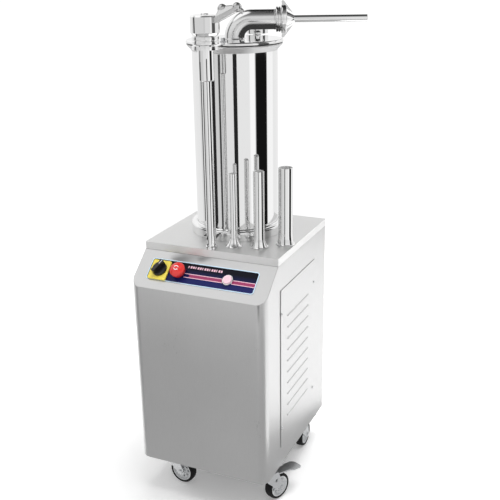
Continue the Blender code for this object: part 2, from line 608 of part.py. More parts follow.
def build_spare_horns(machine):
    """Spare horns stand on the top plate, flange down."""
    spares = [("horn_small", 0.047, -0.134, 0.0215, 0.0150, 0.00925, 0.1946),
              ("horn_medium", 0.110, -0.114, 0.0235, 0.0185, 0.0140, 0.2016),
              ("horn_large", 0.1645, -0.067, 0.0245, 0.0212, 0.0185, 0.2046)]
    for name, x, y, flange, cone, tube, height in spares:
        profile = horn_profile(flange, 0.003, cone, tube, 0.007, 0.018, height - GAP, 0.0012)
        add_object(name, turned(profile, SMALL), POLISHED, machine, (x, y, TOP_Z + GAP))


# ---------------------------------------------------------------- castors

def build_castor(machine, name, place, heading, has_pedal):
    """One swivel castor; in the swivel's frame the wheel trails towards +X."""
    plate_top = CABINET_BOTTOM - GAP
    plate_bottom = plate_top - 0.003
    half = CASTOR_PLATE / 2
    plate = add_object(name + "_plate", box((-half, -half, plate_bottom), (half, half, plate_top)), ZINC,
                       machine, (*place, 0))
    race_bottom = CASTOR_CROWN_Z[1] + GAP
    race_top = plate_top - 0.001
    race = turned([(0, race_top), (0.018, race_top), (0.020, race_bottom), (0, race_bottom)], SMALL)
    combine(plate, "UNION", race)

    swivel = add_empty(name + "_swivel", machine, (*place, 0), (0, 0, heading))
    crown_low, crown_high = CASTOR_CROWN_Z
    side_on = (math.pi / 2, 0, 0)
    boss = arc((CASTOR_TRAIL, WHEEL_RADIUS), 0.011, -150, 20, 6)
    outline = boss + [(0.026, crown_low - 0.004), (0.024, crown_high), (-0.022, crown_high), (-0.022, 0.082)]
    cheeks = prism(outline, -FORK_OUTER, FORK_OUTER)
    fork = add_object(name + "_fork", cheeks, ZINC, swivel, (0, 0, 0), side_on)
    slot = [(-0.030, 0), (0.060, 0), (0.060, crown_low), (-0.030, crown_low)]
    combine(fork, "DIFFERENCE", prism(slot, -FORK_INNER, FORK_INNER))
    hole_radius = AXLE_RADIUS + 0.0004
    hole = turned([(0, 0.03), (hole_radius, 0.03), (hole_radius, -0.03), (0, -0.03)], SMALL)
    combine(fork, "DIFFERENCE", hole, (CASTOR_TRAIL, WHEEL_RADIUS, 0))

    wheel = add_empty(name + "_wheel_axis", swivel, (CASTOR_TRAIL, 0, WHEEL_RADIUS), side_on)
    bore = AXLE_RADIUS + 0.0005
    rim = 0.0295
    core = [(0.009, 0.0135), (0.009, 0.004), (0.026, 0.004), (0.027, 0.0105), (rim, 0.0105), (rim, -0.0105),
            (0.027, -0.0105), (0.026, -0.004), (0.009, -0.004), (0.009, -0.0135), (bore, -0.0135),
            (bore, 0.0135)]
    add_object(name + "_core", turned(core, MEDIUM), WHEEL_PLASTIC, wheel)
    edge = WHEEL_WIDTH / 2
    tyre = [(0.0335, edge), (0.0365, edge - 0.003), (WHEEL_RADIUS, edge - 0.008),
            (WHEEL_RADIUS, -edge + 0.008), (0.0365, -edge + 0.003), (0.0335, -edge),
            (rim + GAP, -edge + 0.001),
            (rim + GAP, edge - 0.001)]
    add_object(name + "_tyre", turned(tyre, MEDIUM), TYRE_RUBBER, wheel)

    cheek = FORK_OUTER + GAP
    end = cheek + 0.003
    axle = [(0, end), (0.0065, end), (0.0065, cheek), (AXLE_RADIUS, cheek), (AXLE_RADIUS, -cheek),
            (0.0065, -cheek), (0.0065, -end), (0, -end)]
    add_object(name + "_axle", turned(axle, SMALL), ZINC, swivel, (CASTOR_TRAIL, 0, WHEEL_RADIUS), side_on)

    if has_pedal:
        pivot = add_empty(name + "_pedal_axis", swivel, (0.030, 0, 0.0815), side_on)
        reach = PEDAL_LENGTH - 0.030
        pedal = [(-0.004, 0.0015), (-0.004, -0.0015), (0.030, -0.0070), (reach, -0.0175), (reach, -0.0145),
                 (0.030, -0.0040), (0.004, 0.0015)]
        plate = add_object(name + "_pedal", prism(pedal, -PEDAL_HALF_WIDTH, PEDAL_HALF_WIDTH), ZINC, pivot)
        neck = reach - 0.045
        for side in (-1, 1):
            notch_low, notch_high = sorted((side * PEDAL_NECK_HALF_WIDTH, side * (PEDAL_HALF_WIDTH + 0.001)))
            combine(plate, "DIFFERENCE", box((-0.010, -0.030, notch_low), (neck, 0.010, notch_high)))


def build_castors(machine):
    build_castor(machine, "castor_front_left", (-0.130, -0.195), math.radians(-6), False)
    build_castor(machine, "castor_front_right", (0.165, -0.197), math.radians(68), True)
    build_castor(machine, "castor_rear_right", (0.1515, 0.075), math.radians(90), True)
    build_castor(machine, "castor_rear_left", (-0.150, 0.080), math.radians(75), False)


def main():
    clear_scene()
    machine = add_empty("machine", None, MACHINE_SHIFT)
    build_cabinet(machine)
    build_controls(machine)
    build_cylinder(machine)
    build_piston(machine)
    build_hydraulics(machine)
    build_column(machine)
    build_lock(machine)
    build_lid(machine)
    build_outlet(machine)
    build_spare_horns(machine)
    build_castors(machine)


main()
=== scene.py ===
"""The looks of the hydraulic sausage stuffer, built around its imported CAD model."""
import json
import math

import bmesh
import bpy
from mathutils import Matrix, Vector


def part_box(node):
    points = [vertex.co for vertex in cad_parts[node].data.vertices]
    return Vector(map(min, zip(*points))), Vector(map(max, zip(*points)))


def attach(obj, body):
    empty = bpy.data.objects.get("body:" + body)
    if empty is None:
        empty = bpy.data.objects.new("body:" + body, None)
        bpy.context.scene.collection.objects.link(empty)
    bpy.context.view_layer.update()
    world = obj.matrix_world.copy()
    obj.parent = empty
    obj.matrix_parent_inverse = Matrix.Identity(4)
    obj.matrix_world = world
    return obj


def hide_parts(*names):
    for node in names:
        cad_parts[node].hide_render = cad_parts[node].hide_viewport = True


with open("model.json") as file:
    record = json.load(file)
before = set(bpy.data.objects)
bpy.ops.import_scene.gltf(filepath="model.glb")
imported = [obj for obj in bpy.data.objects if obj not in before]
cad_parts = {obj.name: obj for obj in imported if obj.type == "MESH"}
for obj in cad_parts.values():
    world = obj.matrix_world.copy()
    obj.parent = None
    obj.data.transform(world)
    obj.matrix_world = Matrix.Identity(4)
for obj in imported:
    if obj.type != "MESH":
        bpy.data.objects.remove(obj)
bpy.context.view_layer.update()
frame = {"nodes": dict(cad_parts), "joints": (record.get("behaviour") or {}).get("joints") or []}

GAP = 0.0003                    # between neighbouring pieces
FINEST, FINE, MEDIUM, SMALL, COARSE = 128, 96, 64, 40, 24      # steps in a full turn
LEVER_BEARING = 7               # the lock lever's bearing at rest, in degrees from +X
JOINTS = {joint["name"]: joint for joint in frame["joints"]}


# ---- camera, light, floor

CAMERA_PLACE = (0.8390, -1.9037, 1.4068)
CAMERA_TURN = (24.0, 19.5, -0.83)       # bearing, tilt down and roll, in degrees
LENS, SENSOR = 58.67, 36.0


def place_camera():
    """The view from the front right and above, looking down."""
    data = bpy.data.cameras.new("camera")
    data.lens = LENS
    data.sensor_width = SENSOR
    camera = bpy.data.objects.new("camera", data)
    bpy.context.scene.collection.objects.link(camera)
    bearing, tilt, roll = CAMERA_TURN
    turn = Matrix.Identity(4)
    for angle, axis in ((bearing, "Z"), (90 - tilt, "X"), (roll, "Z")):
        turn = turn @ Matrix.Rotation(math.radians(angle), 4, axis)
    camera.matrix_world = Matrix.Translation(CAMERA_PLACE) @ turn
    bpy.context.scene.camera = camera


class Graph:
    """A short way to write a node tree: each call adds a node and links its inputs."""

    def __init__(self, tree):
        self.tree = tree

    def add(self, kind, inputs=None, **settings):
        node = self.tree.nodes.new(kind)
        for name, value in settings.items():
            setattr(node, name, value)
        for name, value in (inputs or {}).items():
            if isinstance(value, bpy.types.NodeSocket):
                self.tree.links.new(value, node.inputs[name])
            else:
                node.inputs[name].default_value = value
        return node

    def math(self, operation, *values):
        return self.add("ShaderNodeMath", dict(enumerate(values)), operation=operation).outputs[0]

    def blend(self, factor, first, second, mode="MIX"):
        """Mix two colours; a plain number stands for a grey."""
        pair = [value if isinstance(value, bpy.types.NodeSocket) else (value, value, value, 1.0)
                for value in (first, second)]
        node = self.add("ShaderNodeMix", {"Factor": factor, 6: pair[0], 7: pair[1]}, data_type="RGBA",
                        blend_type=mode)
        return node.outputs[2]

    def noise(self, place, scale, detail, roughness=0.5):
        return self.add("ShaderNodeTexNoise", {"Vector": place, "Scale": scale, "Detail": detail,
                                               "Roughness": roughness}).outputs["Fac"]

    def ramp(self, factor, stops):
        node = self.add("ShaderNodeValToRGB", {"Fac": factor})
        ramp = node.color_ramp
        while len(ramp.elements) < len(stops):
            ramp.elements.new(0.5)
        for element, (position, value) in zip(ramp.elements, stops):
            element.position = position
            colour = value if isinstance(value, tuple) else (value, value, value)
            element.color = (*colour, 1.0)
        return node.outputs["Color"]


# Studio cards round the object as (start, end, brightness): bearings in degrees from +X
LOW_CARDS = [(-180, -173, 0.80), (-172, -160, 0.06), (-159, -138, 0.50), (-137, -101, 0.70),
             (-101, -61, 0.84), (-61, -27, 0.90), (-27, -11, 1.08), (-10, 28, 0.008), (28, 55, 1.05),
             (56, 100, 0.92), (101, 180, 0.90)]
HIGH_CARDS = [(-180, -165, 0.75), (-163, -150, 0.05), (-149, -75, 0.78), (-75, -62, 0.72),
              (-62, -22, 0.85), (-22, -8, 1.0), (-8, 22, 0.10), (22, 90, 0.95), (90, 180, 1.0)]
SOFT_EDGE = 1.2
CAMERA_BEARING = -66.0
SLOPE_BOX = (-154.0, 61.0)      # bearing and height of the softbox over the control slope
# (share of the way up, half its brightness)
CEILING = [(0.50, 0.15), (0.76, 0.08), (0.90, 0.025)]


def pointing(bearing, height):
    """The unit vector at a bearing and a height, both in degrees."""
    b, h = math.radians(bearing), math.radians(height)
    return Vector((math.cos(b) * math.cos(h), math.sin(b) * math.cos(h), math.sin(h)))


def card_ring(graph, turn, cards):
    """The brightness of a ring of cards at each bearing."""
    stops = []
    for start, end, value in cards:
        stops.append(((start + SOFT_EDGE + 180) / 360, value / 2))
        stops.append(((end - SOFT_EDGE + 180) / 360, value / 2))
    return graph.ramp(turn, stops)


def build_world():
    """White to the camera; reflections see pale and dark cards under a dim ceiling."""
    world = bpy.data.worlds.new("studio")
    world.use_nodes = True
    bpy.context.scene.world = world
    tree = world.node_tree
    tree.nodes.clear()
    graph = Graph(tree)
    direction = graph.add("ShaderNodeTexCoord").outputs["Generated"]
    split = graph.add("ShaderNodeSeparateXYZ", {"Vector": direction})
    bearing = graph.math("ARCTAN2", split.outputs["Y"], split.outputs["X"])
    turn = graph.math("ADD", graph.math("DIVIDE", bearing, 2 * math.pi), 0.5)
    low_ring, high_ring = (card_ring(graph, turn, cards) for cards in (LOW_CARDS, HIGH_CARDS))
    height = graph.math("DIVIDE", graph.math("ARCSINE", split.outputs["Z"]), math.pi / 2)
    # the low ring gives way to the high one just under the horizon
    level = graph.ramp(graph.math("ADD", height, 0.5), [(0.434, 0.0), (0.441, 1.0)])
    lift = graph.ramp(height, [(0.04, 0.46), (0.11, 0.52), (0.34, 0.56)])
    lifted = graph.blend(1.0, high_ring, lift, "MULTIPLY")
    ring = graph.blend(level, low_ring, graph.blend(1.0, lifted, lifted, "ADD"))
    # above both rings comes the ceiling, with a dark wall in it opposite the camera
    up = graph.ramp(height, [(0.34, 0.0), (0.55, 1.0)])
    room = graph.blend(up, ring, graph.ramp(height, CEILING))
    behind = graph.math("COSINE", graph.math("SUBTRACT", bearing, math.radians(CAMERA_BEARING + 180)))
    back = graph.ramp(behind, [(0.0, 0.0), (0.35, 1.0)])
    shade = graph.ramp(height, [(0.40, 0.0), (0.46, 1.0), (0.82, 1.0), (0.95, 0.0)])
    room = graph.blend(graph.math("MULTIPLY", back, shade), room, 0.012)
    # the softbox over the control slope
    nearness = graph.add("ShaderNodeVectorMath", {0: direction, 1: pointing(*SLOPE_BOX)},
                         operation="DOT_PRODUCT").outputs["Value"]
    box = graph.ramp(nearness, [(0.88, 0.0), (0.94, 1.0)])
    room = graph.blend(box, room, 0.60)
    # the camera itself sees white
    seen = graph.add("ShaderNodeLightPath").outputs["Is Camera Ray"]
    lit = graph.add("ShaderNodeBackground", {"Color": room, "Strength": 2.0})
    white = graph.add("ShaderNodeBackground", {"Color": (1, 1, 1, 1), "Strength": 1.05})
    mixed = graph.add("ShaderNodeMixShader", {0: seen, 1: lit.outputs[0], 2: white.outputs[0]})
    output = graph.add("ShaderNodeOutputWorld")
    tree.links.new(mixed.outputs[0], output.inputs["Surface"])


def add_light(name, place, aim, size, power):
    """A softbox that lights the matt surfaces and isn't mirrored in the polished ones."""
    data = bpy.data.lights.new(name, "AREA")
    data.shape = "RECTANGLE"
    data.size, data.size_y = size
    data.energy = power
    light = bpy.data.objects.new(name, data)
    light.location = place
    light.rotation_euler = (Vector(aim) - Vector(place)).to_track_quat("-Z", "Y").to_euler()
    light.visible_camera = False
    light.visible_glossy = False
    bpy.context.scene.collection.objects.link(light)


def build_floor():
    bm = bmesh.new()
    bmesh.ops.create_circle(bm, cap_ends=True, segments=128, radius=2.2)
    floor = link_mesh("studio_floor", bm)
    material = bpy.data.materials.new("studio_floor")
    material.use_nodes = True
    graph = Graph(material.node_tree)
    shader = material.node_tree.nodes["Principled BSDF"]
    place = graph.add("ShaderNodeTexCoord").outputs["Object"]
    grain = graph.noise(place, 40.0, 4.0)
    tint = graph.ramp(grain, [(0.3, 0.93), (0.7, 0.96)])
    material.node_tree.links.new(tint, shader.inputs["Base Color"])
    material.node_tree.links.new(tint, shader.inputs["Emission Color"])
    shader.inputs["Emission Strength"].default_value = 0.2
    shader.inputs["Roughness"].default_value = 0.9
    floor.data.materials.append(material)


def painted_reflection_sheet(obj, tint, one_sided=False):
    """A grey sheet that glows and is seen only in the metal's reflections: a painted reflection."""
    material = bpy.data.materials.new(obj.name)
    material.use_nodes = True
    tree = material.node_tree
    tree.nodes.clear()
    graph = Graph(tree)
    place = graph.add("ShaderNodeTexCoord").outputs["Object"]
    across = graph.add("ShaderNodeSeparateXYZ", {"Vector": place}).outputs["X"]
    share = graph.math("ADD", graph.math("DIVIDE", across, 2.0), 0.75)
    # painted reflection: the sheet glows in the given greys, which change along its X
    shader = graph.add("ShaderNodeEmission", {"Color": graph.ramp(share, tint)}).outputs[0]
    if one_sided:
        underneath = graph.add("ShaderNodeNewGeometry").outputs["Backfacing"]
        clear = graph.add("ShaderNodeBsdfTransparent").outputs[0]
        shader = graph.add("ShaderNodeMixShader", {0: underneath, 1: shader, 2: clear}).outputs[0]
    output = graph.add("ShaderNodeOutputMaterial")
    tree.links.new(shader, output.inputs["Surface"])
    obj.data.materials.append(material)
    obj.visible_camera = False
    obj.visible_diffuse = False
    obj.visible_shadow = False


def add_card(name, corners, tone, one_sided):
    """A four-cornered card glowing in one grey, a painted reflection, which faces the side its corners
    run round.
    """
    bm = bmesh.new()
    bm.faces.new([bm.verts.new(corner) for corner in corners])
    painted_reflection_sheet(link_bmesh(name, bm), [(0.0, tone), (1.0, tone)], one_sided)


def build_cards():
    """Painted reflections: glowing grey mats on the floor, darker towards the left, and dark glowing
    cards near the cylinder and over the lid.
    """
    low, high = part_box("cabinet_shell")
    # painted reflection: glowing grey mats before, beside and behind the cabinet, darker towards the
    # left, seen only in the metal
    front = block((low.x - 1.5, low.y - 1.25, 0.002), (high.x + 1.4, low.y - 0.03, 0.003))
    plan = [(0.005, -0.26), (0.370, -0.26), (0.160, 0.21), (0.070, 0.38), (0.005, 0.50)]
    right = prism([(high.x + x, y) for x, y in plan], 0.002, 0.003)
    behind = block((low.x - 1.2, high.y + 0.03, 0.002), (high.x, high.y + 1.35, 0.003))
    mats = link_mesh("painted_reflection_mats", join(front, right, behind))
    painted_reflection_sheet(mats, [(0.1, 0.36), (0.75, 0.54), (0.81, 0.50)])
    axis = middle("filling_cylinder")
    plate_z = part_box("top_plate")[1].z
    foot_start = 0.14       # where the cards' feet on the top plate begin, from the cylinder's axis
    # painted dark reflections: near-black glowing cards by the cylinder, two with feet on the top
    # plate, seen only in the metal
    # (name, bearing and distance from the cylinder's axis, half width, bottom, top, brightness)
    cards = [("left_painted_dark_card", -113.5, 0.25, 0.017, plate_z, 1.18, 0.02),
             ("thin_painted_dark_card", -97.5, 0.22, 0.008, plate_z, 1.18, 0.06),
             ("front_painted_dark_card", -66, 0.55, 0.045, 0.50, 1.15, 0.02)]
    for name, bearing, distance, half, bottom, top, tone in cards:
        out = pointing(bearing, 0)
        side = Vector((-out.y, out.x, 0))
        centre = Vector((axis.x, axis.y, 0)) + distance * out
        corners = [centre + step * half * side + Vector((0, 0, z)) for step, z in
                   ((-1, bottom), (1, bottom), (1, top), (-1, top))]
        near = bottom == plate_z
        add_card(name, reversed(corners), tone, near)
        if near:
            inner = Vector((axis.x, axis.y, 0)) + foot_start * out
            share = foot_start / distance
            lift = Vector((0, 0, plate_z + 0.001))
            corners = [inner - share * half * side + lift, centre - half * side + lift,
                       centre + half * side + lift, inner + share * half * side + lift]
            add_card(name + "_foot", corners, tone, True)
    # painted dark reflection: a dark glowing card just over the lid, seen only in reflections
    place = outlet_frame()
    lid_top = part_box("lid")[1].z - place.translation.z + 0.001
    plan = ((0.029, -0.050), (0.118, -0.050), (0.118, 0.050), (0.029, 0.050))
    add_card("lid_painted_dark_card", [place @ Vector((x, y, lid_top)) for x, y in plan], 0.05, True)


def build_stage():
    build_world()
    add_light("overhead", (0.6, 0.5, 3.4), (0.1, 0.1, 0.0), (2.6, 2.6), 110)
    build_floor()
    build_cards()


# ---- materials

def surface(name, colour, metallic, roughness, grain, contrast, spread, bump, bump_distance, patches,
            coat=0.0, specular=0.5):
    """A procedural surface: fine grain in colour, roughness and relief, and soft larger patches."""
    colour = colour if isinstance(colour, tuple) else (colour, colour, colour)
    grain = grain if isinstance(grain, tuple) else (grain, grain, grain)
    material = bpy.data.materials.new(name)
    material.use_nodes = True
    tree = material.node_tree
    graph = Graph(tree)
    shader = tree.nodes["Principled BSDF"]
    shader.inputs["Metallic"].default_value = metallic
    shader.inputs["Coat Weight"].default_value = coat
    shader.inputs["Specular IOR Level"].default_value = specular
    place = graph.add("ShaderNodeTexCoord").outputs["Object"]
    stretched = graph.add("ShaderNodeMapping", {"Vector": place, "Scale": grain}).outputs["Vector"]
    fine = graph.noise(stretched, 1.0, 6.0, 0.65)
    broad = graph.noise(place, 7.0, 3.0)
    signed_fine = graph.math("SUBTRACT", fine, 0.5)
    signed_broad = graph.math("SUBTRACT", broad, 0.5)
    shade = graph.math("ADD", graph.math("MULTIPLY", signed_fine, 2 * contrast),
                       graph.math("MULTIPLY", signed_broad, 2 * patches))
    value = graph.math("ADD", shade, 1.0)
    tone = graph.add("ShaderNodeHueSaturation", {"Color": (*colour, 1.0), "Value": value})
    tree.links.new(tone.outputs["Color"], shader.inputs["Base Color"])
    rough = graph.math("ADD", graph.math("MULTIPLY", signed_fine, spread),
                       graph.math("MULTIPLY", signed_broad, spread))
    tree.links.new(graph.math("ADD", rough, roughness), shader.inputs["Roughness"])
    if bump:
        relief = graph.add("ShaderNodeBump", {"Height": fine, "Strength": bump,
                                              "Distance": bump_distance})
        tree.links.new(relief.outputs["Normal"], shader.inputs["Normal"])
    return material


# Under each slot its looks: colour (a number is a grey), metallic, roughness, grain, contrast, spread,
# relief, the relief's depth, patches, and for some coat and specular
FINISHES = {
    "brushed_steel": {
        "upright_brushed": (0.60, 0.95, 0.30, (1100, 1100, 60), 0.07, 0.08, 0.05, 4e-5, 0.04),
        "cross_brushed": ((0.88, 0.88, 0.875), 0.95, 0.45, (30, 1400, 1400), 0.035, 0.08, 0.05,
                          4e-5, 0.03),
    },
    "polished_steel": {
        "mirror": (0.86, 1.0, 0.035, (400, 400, 25), 0.01, 0.02, 0.02, 2e-5, 0.01),
        "satin": (0.60, 1.0, 0.26, 250, 0.04, 0.08, 0.05, 5e-5, 0.06),
        "rolled_edge": (0.56, 0.55, 0.34, 250, 0.05, 0.08, 0.05, 5e-5, 0.06),
        "horn_inside": (0.66, 0.15, 0.45, 250, 0.05, 0.08, 0.05, 5e-5, 0.06),
        "drawn_tube": (0.80, 1.0, 0.14, 250, 0.02, 0.05, 0.03, 3e-5, 0.03),
        "polished": (0.82, 1.0, 0.09, 250, 0.02, 0.05, 0.03, 3e-5, 0.03),
    },
    "zinc": {
        "zinc": ((0.72, 0.73, 0.74), 0.9, 0.28, 350, 0.10, 0.15, 0.10, 1e-4, 0.10),
    },
    "": {
        "dark_paint": ((0.05, 0.06, 0.08), 0.0, 0.45, 500, 0.12, 0.1, 0.2, 2e-4, 0.1),
        "pale_mark": ((0.90, 0.86, 0.86), 0.0, 0.4, 900, 0.04, 0.08, 0.03, 1e-4, 0.03),
        "seal_rubber": (0.014, 0.0, 0.6, 600, 0.05, 0.1, 0.1, 1e-4, 0.05),
    },
    "black_plastic": {
        "black_plastic": (0.012, 0.0, 0.30, 900, 0.2, 0.12, 0.15, 1e-4, 0.1),
    },
    "red_plastic": {
        "red_plastic": ((0.72, 0.035, 0.03), 0.0, 0.22, 700, 0.05, 0.08, 0.05, 1e-4, 0.04, 0.3),
        "dark_red": ((0.16, 0.005, 0.01), 0.0, 0.35, 700, 0.05, 0.08, 0.05, 1e-4, 0.04),
    },
    "yellow_plastic": {
        "yellow_plastic": ((0.90, 0.74, 0.10), 0.0, 0.35, 700, 0.04, 0.08, 0.08, 1e-4, 0.04),
    },
    "pale_plastic": {
        "pale_pink": ((0.90, 0.62, 0.70), 0.0, 0.25, 700, 0.03, 0.06, 0.05, 1e-4, 0.04, 0.3),
    },
    "overlay_film": {
        "border_blue": ((0.62, 0.80, 0.95), 0.0, 0.35, 900, 0.05, 0.08, 0.03, 1e-4, 0.05),
        "stripe_pink": ((0.88, 0.55, 0.66), 0.0, 0.35, 900, 0.05, 0.08, 0.03, 1e-4, 0.05),
        "stripe_magenta": ((0.30, 0.02, 0.10), 0.0, 0.3, 900, 0.08, 0.08, 0.03, 1e-4, 0.08),
    },
    "wheel_plastic": {
        "wheel_plastic": ((0.62, 0.63, 0.64), 0.0, 0.4, 600, 0.06, 0.1, 0.1, 1e-4, 0.08),
    },
    "tyre_rubber": {
        "tyre_rubber": ((0.006, 0.006, 0.0065), 0.0, 0.6, 700, 0.25, 0.15, 0.2, 2e-4, 0.2, 0.0, 0.2),
    },
}
LOOKS = {}


def build_materials():
    """Brushed sheet is drawn upright on the cabinet and across on its top; the rest is polished."""
    for slot, looks in FINISHES.items():
        for name, values in looks.items():
            LOOKS[name] = (surface(name, *values), slot)
    LOOKS["overlay"] = (overlay_material(), "overlay_film")


def overlay_material():
    """Printed film: black at the top running into navy, with a fine screen-print grain."""
    material = surface("overlay_film", (0.004, 0.004, 0.010), 0.0, 0.22, 1200, 0.2, 0.1, 0.05,
                       0.0001, 0.1, specular=0.12)
    tree = material.node_tree
    graph = Graph(tree)
    low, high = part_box("control_overlay")
    place = graph.add("ShaderNodeTexCoord").outputs["Object"]
    height = graph.add("ShaderNodeSeparateXYZ", {"Vector": place}).outputs["Z"]
    share = graph.math("DIVIDE", graph.math("SUBTRACT", height, low.z), high.z - low.z)
    mottle = graph.noise(place, 300.0, 4.0)
    mixed = graph.math("ADD", share, graph.math("MULTIPLY", graph.math("SUBTRACT", mottle, 0.5), 0.15))
    tone = graph.ramp(mixed, [(0.25, (0.012, 0.016, 0.10)), (0.50, (0.008, 0.010, 0.055)),
                              (0.75, (0.003, 0.003, 0.008))])
    tree.links.new(tone, tree.nodes["Principled BSDF"].inputs["Base Color"])
    return material


# ---- mesh helpers

def link_mesh(name, bm):
    bmesh.ops.remove_doubles(bm, verts=bm.verts[:], dist=1e-6)
    bmesh.ops.recalc_face_normals(bm, faces=bm.faces[:])
    return link_bmesh(name, bm)


def link_bmesh(name, bm):
    mesh = bpy.data.meshes.new(name)
    bm.to_mesh(mesh)
    bm.free()
    obj = bpy.data.objects.new(name, mesh)
    bpy.context.scene.collection.objects.link(obj)
    return obj


def apply_modifiers(obj):
    bpy.context.view_layer.update()
    graph = bpy.context.evaluated_depsgraph_get()
    mesh = bpy.data.meshes.new_from_object(obj.evaluated_get(graph))
    obj.modifiers.clear()
    obj.data = mesh


CUT, ADD = "DIFFERENCE", "UNION"


def merge(base, operation, bm):
    """Cut or add a solid, and keep only the result."""
    tool = link_mesh("tool", bm)
    modifier = base.modifiers.new("merge", "BOOLEAN")
    modifier.operation = operation
    modifier.solver = "EXACT"
    modifier.object = tool
    apply_modifiers(base)
    bpy.data.objects.remove(tool)


def finish_piece(obj, look, body, replaced=(), round_edges=0.0, slot="", sharp=35, steps=2):
    """Round the edges, smooth the faces, and put the piece on its body; the slot, from the look unless
    given, is worked out but not used.
    """
    material, usual_slot = LOOKS[look]
    if round_edges:
        modifier = obj.modifiers.new("round", "BEVEL")
        modifier.width = round_edges
        modifier.segments = steps
        modifier.limit_method = "ANGLE"
        modifier.angle_limit = math.radians(28)
        apply_modifiers(obj)
    obj.data.shade_smooth()
    obj.data.set_sharp_from_angle(angle=math.radians(sharp))
    weighted = obj.modifiers.new("weighted", "WEIGHTED_NORMAL")
    weighted.keep_sharp = True
    apply_modifiers(obj)
    obj.data.materials.clear()
    obj.data.materials.append(material)
    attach(obj, body)
    if replaced:
        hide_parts(*replaced)
    slot = usual_slot if slot == "" else slot


def add_piece(name, bm, *finish, **options):
    """Make and finish a piece that needs no cuts."""
    finish_piece(link_mesh(name, bm), *finish, **options)


def rod_cut(obj, radius, low, high, place, steps=MEDIUM):
    merge(obj, CUT, turned(rod(radius, low, high), steps, place))


def at(x=0, y=0, z=0):
    return Matrix.Translation((x, y, z))


def moved(bm, matrix):
    bmesh.ops.transform(bm, matrix=matrix, verts=bm.verts[:])
    return bm


def turned(profile, segments=FINE, place=None):
    """Spin a closed outline of (radius, z) points about Z; points at radius 0 lie on the axis."""
    bm = bmesh.new()
    verts = [bm.verts.new((radius, 0, z)) for radius, z in profile]
    pairs = list(zip(verts, verts[1:]))
    if profile[0][0] > 0 or profile[-1][0] > 0:
        pairs.append((verts[-1], verts[0]))
    edges = [bm.edges.new(pair) for pair in pairs]
    bmesh.ops.spin(bm, geom=verts + edges, cent=(0, 0, 0), axis=(0, 0, 1), angle=2 * math.pi,
                   steps=segments, use_merge=True, use_duplicate=False)
    bmesh.ops.remove_doubles(bm, verts=bm.verts[:], dist=1e-6)
    bmesh.ops.dissolve_degenerate(bm, edges=bm.edges[:], dist=1e-7)
    bmesh.ops.recalc_face_normals(bm, faces=bm.faces[:])
    return moved(bm, place) if place else bm


def prism(outline, low, high, place=None):
    bm = bmesh.new()
    face = bm.faces.new([bm.verts.new((x, y, low)) for x, y in outline])
    grown = bmesh.ops.extrude_face_region(bm, geom=[face])
    lifted = [item for item in grown["geom"] if isinstance(item, bmesh.types.BMVert)]
    bmesh.ops.translate(bm, verts=lifted, vec=(0, 0, high - low))
    bmesh.ops.recalc_face_normals(bm, faces=bm.faces[:])
    return moved(bm, place) if place else bm


def block(low, high, place=None):
    outline = [(low[0], low[1]), (high[0], low[1]), (high[0], high[1]), (low[0], high[1])]
    return prism(outline, low[2], high[2], place)


def arc(centre, radius, start, end, steps=8):
    angles = [math.radians(start + (end - start) * step / steps) for step in range(steps + 1)]
    return [(centre[0] + radius * math.cos(angle), centre[1] + radius * math.sin(angle))
            for angle in angles]


def rod(radius, low, high):
    """The outline of a plain round bar about its axis."""
    return [(0, high), (radius, high), (radius, low), (0, low)]


def hexagon(radius):
    return arc((0, 0), radius, 0, 300, 5)


def rounded_rectangle(low, high, radius, steps=6):
    corners = [((high[0] - radius, high[1] - radius), 0), ((low[0] + radius, high[1] - radius), 90),
               ((low[0] + radius, low[1] + radius), 180), ((high[0] - radius, low[1] + radius), 270)]
    return [point for centre, start in corners
            for point in arc(centre, radius, start, start + 90, steps)]


def ring_skin(stations, segments=MEDIUM, place=None):
    """Skin closed rings of (centre, direction, radius), in a frame whose sideways axis is Y."""
    bm = bmesh.new()
    rings = []
    for centre, direction, radius in stations:
        side = Vector((0, 1, 0))
        up = direction.cross(side)
        turn = [2 * math.pi * step / segments for step in range(segments)]
        rings.append([bm.verts.new(centre + radius * (math.cos(t) * side + math.sin(t) * up))
                      for t in turn])
    for ring, following in zip(rings, rings[1:] + rings[:1]):
        for step in range(segments):
            after = (step + 1) % segments
            bm.faces.new((ring[step], ring[after], following[after], following[step]))
    bmesh.ops.recalc_face_normals(bm, faces=bm.faces[:])
    return moved(bm, place) if place else bm


def join(first, *others):
    """Put several bmeshes into one."""
    for other in others:
        mesh = bpy.data.meshes.new("part")
        other.to_mesh(mesh)
        other.free()
        first.from_mesh(mesh)
        bpy.data.meshes.remove(mesh)
    return first


def middle(node):
    low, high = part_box(node)
    return (low + high) / 2


def on_axis(node, z=0.0):
    """The frame of an upright turned node, at a height of our choice."""
    centre = middle(node)
    return at(centre.x, centre.y, z)


def aimed(point, direction, sideways=None):
    """A frame at a point whose Z looks along a direction."""
    z = Vector(direction).normalized()
    level = Vector((0, 1, 0)) if abs(z.x) > 0.9 else Vector((1, 0, 0))
    x = Vector(sideways) if sideways else level
    x = (x - z * x.dot(z)).normalized()
    y = z.cross(x)
    turn = Matrix((x, y, z)).transposed().to_4x4()
    return Matrix.Translation(point) @ turn


# ---- cabinet

SHEET = 0.0015
CORNER_RADIUS = 0.025


